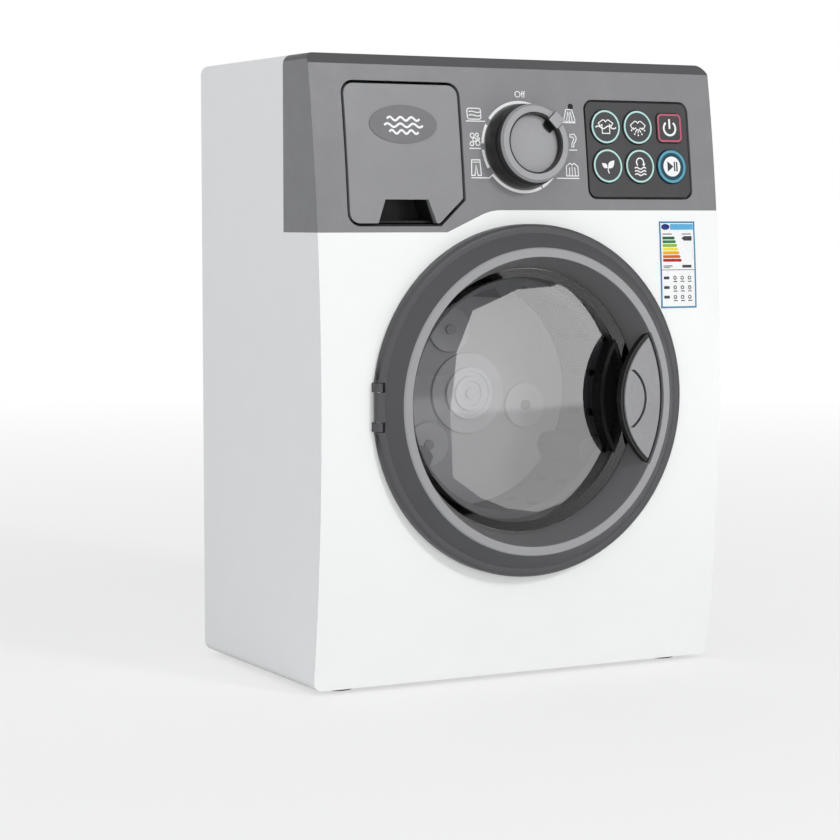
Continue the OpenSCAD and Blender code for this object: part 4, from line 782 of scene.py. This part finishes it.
def sign_rinse():
    """A shirt's shoulders over a fan of drops."""
    shoulders = [
        (-2.0, -0.2), (-2.9, -0.6), (-3.8, 0.9), (-1.6, 2.6), (-0.8, 2.6), (0, 1.8), (0.8, 2.6), (1.6, 2.6),
        (3.8, 0.9), (2.9, -0.6), (2.0, -0.2),
    ]
    shapes = [stroke(shoulders, THIN_SIGN_W)]
    for angle in DROP_ANGLES:
        c, s = math.cos(math.radians(angle)), math.sin(math.radians(angle))
        near, far, drop = ((radius * c, DROPS_Y + radius * s) for radius in (1.0, 2.9, 3.7))
        shapes.append(stroke([near, far], THIN_SIGN_W))
        shapes.append([circle(*drop, DROP_R, 16)])
    return shapes


def sign_power():
    return [arc_band(0, -0.2, 3.5, 2.6, 128, 412, 40), [rect(-0.45, -0.4, 0.45, 3.9)]]


def leaf(x, y, length, width, turn, steps=12):
    half = [(length * i / steps, width * math.sin(math.pi * (i / steps) ** 0.8)) for i in range(steps + 1)]
    outline = half + [(px, -py) for px, py in half[-2:0:-1]]
    return moved([turned(outline, math.radians(turn))], x, y)


STALK_W = SIGN_W * 0.9


def sign_leaf():
    """Two leaves on a stalk."""
    return [
        leaf(0.2, -1.0, 4.6, 1.35, 48),
        leaf(-0.4, -0.9, 3.4, 1.0, 142),
        stroke([(0.1, -0.6), (-0.1, -2.0), (0.4, -3.3)], STALK_W),
    ]


def sign_spin():
    """A turning arrow over three waves."""
    shapes = [arc_band(0, 1.7, 2.1, 1.55, -30, 230, 28), [[(1.0, 0.9), (2.7, 1.35), (2.0, -0.3)]]]
    for y in (-0.9, -2.3, -3.7):
        shapes.append(stroke(wave(-2.9, 2.9, y, 0.38, 1.5), SIGN_W))
    return shapes


# Each round key's column, row, ink and sign
KEYS = {
    "wash": (0, 0, MINT_INK, sign_wash),
    "rinse": (1, 0, MINT_INK, sign_rinse),
    "gentle": (0, 1, MINT_INK, sign_leaf),
    "spin": (1, 1, MINT_INK, sign_spin),
}
RING_R = KEY_R - RING_INSET
for name, (column, row, colour, draw) in KEYS.items():
    body = "key_" + name + "_cap"
    place = key_place(column, row)
    print_piece("ring_" + name, body, [ring(0, 0, RING_R, RING_R - RING_W)], place, colour)
    print_piece("sign_" + name, body, draw(), place, WHITE_INK)

# The square key's ring lies this far inside the key's edge, with this radius at its inner corners
SQUARE_INSET = 0.3
SQUARE_INNER_R = 1.4
half = POWER_KEY_W / 2 - SQUARE_INSET
inner = half - RING_W
square = [
    round_rect(-half, -half, half, half, POWER_KEY_R - SQUARE_INSET),
    round_rect(-inner, -inner, inner, inner, SQUARE_INNER_R),
]
power_place = key_place(2, 0)
print_piece("ring_power", "key_power_cap", [square], power_place, PINK_INK)
print_piece("sign_power", "key_power_cap", sign_power(), power_place, WHITE_INK)

# The start key has a white disc under its sign
START_RING_W = 1.1
START_DISC_R = 4.4
ABOVE_DISC = INK + 0.01
start_place = key_place(2, 1)
start_sign = [
    [[(-2.3, -2.3), (0.7, 0.0), (-2.3, 2.3)]],
    [rect(1.0, -2.1, 1.65, 2.1)],
    [rect(2.2, -2.1, 2.85, 2.1)],
]
print_piece("ring_start", "key_start_cap", [ring(0, 0, RING_R, RING_R - START_RING_W)], start_place, BLUE_INK)
print_piece("disc_start", "key_start_cap", [[circle(0, 0, START_DISC_R)]], start_place, WHITE_INK)
print_piece("sign_start", "key_start_cap", start_sign, start_place, DARK_INK, base=ABOVE_DISC)


# The drawer's oval badge carries a plain wave sign: each wave's height on it and its half length
BADGE_WAVES = ((2.2, 7.6), (-0.5, 9.0), (-3.2, 6.8))
BADGE_WAVE_RISE = 0.75
BADGE_WAVE_W = 0.9

badge_shapes = []
for y, reach in BADGE_WAVES:
    crests = wave(-reach, reach, y, BADGE_WAVE_RISE, 3.0, 48)
    badge_shapes.append(stroke(moved([crests], BADGE_X, BADGE_Z)[0], BADGE_WAVE_W))
print_piece("badge_print", "drawer", badge_shapes, on_front, WHITE_INK, base=BADGE_T)


# The sticker: border, header, a ladder of coloured bars, an arrow and small plain marks, all in mm from
# its upper left corner
LABEL_W = LABEL_RIGHT - LABEL_LEFT
LABEL_H = LABEL_HIGH - LABEL_LOW
LABEL_BORDER = 0.7
OVAL_X, OVAL_DOWN = 3.2, 2.35
OVAL_HALF_W, OVAL_HALF_H = 2.2, 1.3
BAR_LEFT = 1.5
BAR_TOP = 6.6
BAR_PITCH = 1.62
BAR_H = 1.25
BAR_LENGTH = 5.9
BAR_GROWTH = 0.55
BAR_POINT_LENGTH, BAR_POINT_DOWN = 0.6, 0.62
BAR_COLOURS = (
    (0.005, 0.11, 0.03), (0.02, 0.2, 0.03), (0.25, 0.45, 0.02), (0.8, 0.7, 0.02),
    (0.75, 0.38, 0.01), (0.6, 0.11, 0.02), (0.35, 0.01, 0.01),
)
LABEL_GLOSS = 0.3
ROWS_TOP = 24.0
ROW_PITCH = 4.2
COLUMNS_LEFT = 6.6
COLUMN_PITCH = 3.8


def on_label(x, down, height):
    return on_front(LABEL_LEFT + x, LABEL_HIGH - down, LABEL_T + height)


def label_piece(name, shapes, material):
    print_piece("label_" + name, "cabinet", shapes, on_label, material)


border = [
    rect(0, 0, LABEL_W, LABEL_H),
    rect(LABEL_BORDER, LABEL_BORDER, LABEL_W - LABEL_BORDER, LABEL_H - LABEL_BORDER),
]
oval = [(OVAL_X + OVAL_HALF_W * x, OVAL_DOWN + OVAL_HALF_H * y) for x, y in circle(0, 0, 1, 24)]
label_piece("border", [border], ink("label_blue", (0.02, 0.2, 0.36), LABEL_GLOSS))
label_piece("oval", [[oval]], ink("label_navy", (0.01, 0.03, 0.2), LABEL_GLOSS))
label_piece("header", [[rect(5.7, 1.1, LABEL_W - 0.9, 3.6)]], ink("label_sky", (0.1, 0.4, 0.66), LABEL_GLOSS))

for i, colour in enumerate(BAR_COLOURS):
    top = BAR_TOP + BAR_PITCH * i
    end = BAR_LEFT + BAR_LENGTH + BAR_GROWTH * i
    point = (end + BAR_POINT_LENGTH, top + BAR_POINT_DOWN)
    bar = [(BAR_LEFT, top), (end, top), point, (end, top + BAR_H), (BAR_LEFT, top + BAR_H)]
    label_piece("bar_%d" % (i + 1), [[bar]], ink("bar_ink_%d" % (i + 1), colour, LABEL_GLOSS))

arrow = [(11.4, 7.4), (12.8, 6.4), (16.8, 6.4), (16.8, 8.4), (12.8, 8.4)]
plain = [
    [arrow],
    [rect(LABEL_BORDER, 21.0, LABEL_W - LABEL_BORDER, 21.25)],
    [rect(11.4, 19.0, 16.2, 20.2)],
    [rect(1.6, 5.3, 6.4, 5.7)],
    [rect(11.8, 5.3, 16.4, 5.7)],
    [rect(1.6, 19.2, 6.2, 19.6)],
    [rect(1.6, 20.0, 5.0, 20.3)],
]
for row in range(3):
    y = ROWS_TOP + ROW_PITCH * row
    plain.append([rect(1.6, y, 4.4, y + 1.2)])
    for column in range(3):
        x = COLUMNS_LEFT + COLUMN_PITCH * column
        plain.append(ring(x + 0.8, y + 0.6, 0.85, 0.5, 20))
        plain.append([rect(x, y + 2.0, x + 1.9, y + 2.4)])
label_piece("marks", plain, DARK_INK)


# Floor, backdrop, light and camera, in metres

FLOOR_SIZE = 12.0

# To the camera the floor is this much white near the machine, and all white far from it
WHITE_SHARE_NEAR = 0.6
WHITE_NEAR, WHITE_FAR = 0.3, 1.6

# Strength of the light from all round: at the far left, at the far right, and the least of it from behind
WORLD_LEFT, WORLD_RIGHT = 0.85, 0.25
WORLD_BEHIND = 0.75

# The lamps aim here
CENTRE = Vector((0, 0, 0.13))

# The camera: its place, its line of sight, and the lens and sensor in mm
CAMERA_PLACE = (-0.528874, -0.951563, 0.197878)
CAMERA_LINE = (0.46809788, 0.87981303, -0.08254335)
LENS = 104.956
SENSOR_W = 36


def pale_ground(name, colour):
    """Pale ground that keeps the shadows near the machine and turns white with distance."""
    tree = new_material(name)
    surface = tree.principled(Roughness=0.9, Specular_IOR_Level=0.1)
    surface.inputs["Base Color"].default_value = (*colour, 1)
    length = tree.add("ShaderNodeVectorMath", operation="LENGTH")
    tree.link(tree.coordinates, length.inputs[0])
    far = tree.spread(length.outputs["Value"], WHITE_SHARE_NEAR, 1.0, WHITE_NEAR, WHITE_FAR)
    share = tree.calculate("MULTIPLY", tree.add("ShaderNodeLightPath").outputs["Is Camera Ray"], far)
    return tree.output(tree.mix_shaders(share, surface.outputs["BSDF"], tree.glow(1.0)))


def staged_mesh(mesh, name, material):
    """Adds a piece of the studio, which the model doesn't hold."""
    data = bpy.data.meshes.new(name)
    mesh.to_mesh(data)
    mesh.free()
    data.materials.append(material)
    made = bpy.data.objects.new(name, data)
    bpy.context.scene.collection.objects.link(made)
    return made


mesh = bmesh.new()
bmesh.ops.create_grid(mesh, x_segments=8, y_segments=8, size=FLOOR_SIZE / 2)
staged_mesh(mesh, "floor", pale_ground("floor_white", (0.86, 0.86, 0.86)))


def studio_world():
    """Soft light, stronger from the left and from behind, with plain white behind it all."""
    tree = ShaderTree(bpy.data.worlds.new("studio"))
    direction = tree.split(tree.coordinates.node.outputs["Generated"])
    across = tree.spread(direction["X"], WORLD_LEFT, WORLD_RIGHT, -1.0, 1.0)
    behind = tree.spread(direction["Y"], 0.0, WORLD_BEHIND, 0.1, 0.5)
    sky = tree.add("ShaderNodeBackground")
    sky.inputs["Color"].default_value = (0.97, 0.98, 1.0, 1)
    tree.link(tree.calculate("MAXIMUM", across, behind), sky.inputs["Strength"])
    backdrop = tree.add("ShaderNodeBackground")
    backdrop.inputs["Color"].default_value = WHITE
    seen = tree.add("ShaderNodeLightPath").outputs["Is Camera Ray"]
    chosen = tree.mix_shaders(seen, sky.outputs["Background"], backdrop.outputs["Background"])
    return tree.output(chosen, "ShaderNodeOutputWorld")


bpy.context.scene.world = studio_world()


def softbox(name, location, size, power, glossy=True):
    """Adds a lamp that the camera doesn't see."""
    data = bpy.data.lights.new(name, "AREA")
    data.shape = "RECTANGLE"
    data.size, data.size_y = size
    data.energy = power
    made = bpy.data.objects.new(name, data)
    made.location = location
    made.rotation_euler = (CENTRE - Vector(location)).to_track_quat("-Z", "Y").to_euler()
    made.visible_camera = False
    made.visible_glossy = glossy
    bpy.context.scene.collection.objects.link(made)


softbox("key_light", location=(0.55, -1.65, 1.05), size=(0.3, 0.3), power=11.0)
softbox("front_light", location=(-0.7, -1.9, 0.12), size=(1.6, 1.2), power=16.5, glossy=False)

# A many-sided softbox close to the door: the bright shape that the window mirrors
CARD_Y = -250
CARD_OUTLINE = (
    (45, 40), (39, 95), (46, 147), (64, 181), (114, 199), (176, 203), (206, 181),
    (236, 153), (249, 100), (241, 50), (185, 7), (143, 0), (107, 7), (75, 20),
)
CARD_STEP_Z = 95
CARD_STEP_HALF = 3
CARD_GLOW_LOW, CARD_GLOW_HIGH = 2.1, 3.0


def card_glow():
    """Brighter above its middle seam than below."""
    tree = new_material("card_glow")
    step = ((CARD_STEP_Z - CARD_STEP_HALF) * MM, (CARD_STEP_Z + CARD_STEP_HALF) * MM)
    level = tree.spread(tree.split(tree.coordinates)["Z"], CARD_GLOW_LOW, CARD_GLOW_HIGH, *step)
    return tree.output(tree.glow(level))


mesh = bmesh.new()
mesh.faces.new([mesh.verts.new((x * MM, CARD_Y * MM, z * MM)) for x, z in CARD_OUTLINE])
card = staged_mesh(mesh, "window_card", card_glow())
for seen_by in ("camera", "diffuse", "transmission", "volume_scatter", "shadow"):
    setattr(card, "visible_" + seen_by, False)

camera_data = bpy.data.cameras.new("camera")
camera_data.sensor_fit = "HORIZONTAL"
camera_data.sensor_width = SENSOR_W
camera_data.lens = LENS
camera_data.clip_start = 0.01
camera = bpy.data.objects.new("camera", camera_data)
camera.location = CAMERA_PLACE
camera.rotation_euler = Vector(CAMERA_LINE).to_track_quat("-Z", "Y").to_euler()
bpy.context.scene.collection.objects.link(camera)
bpy.context.scene.camera = camera

bpy.context.scene.view_settings.view_transform = "Standard"
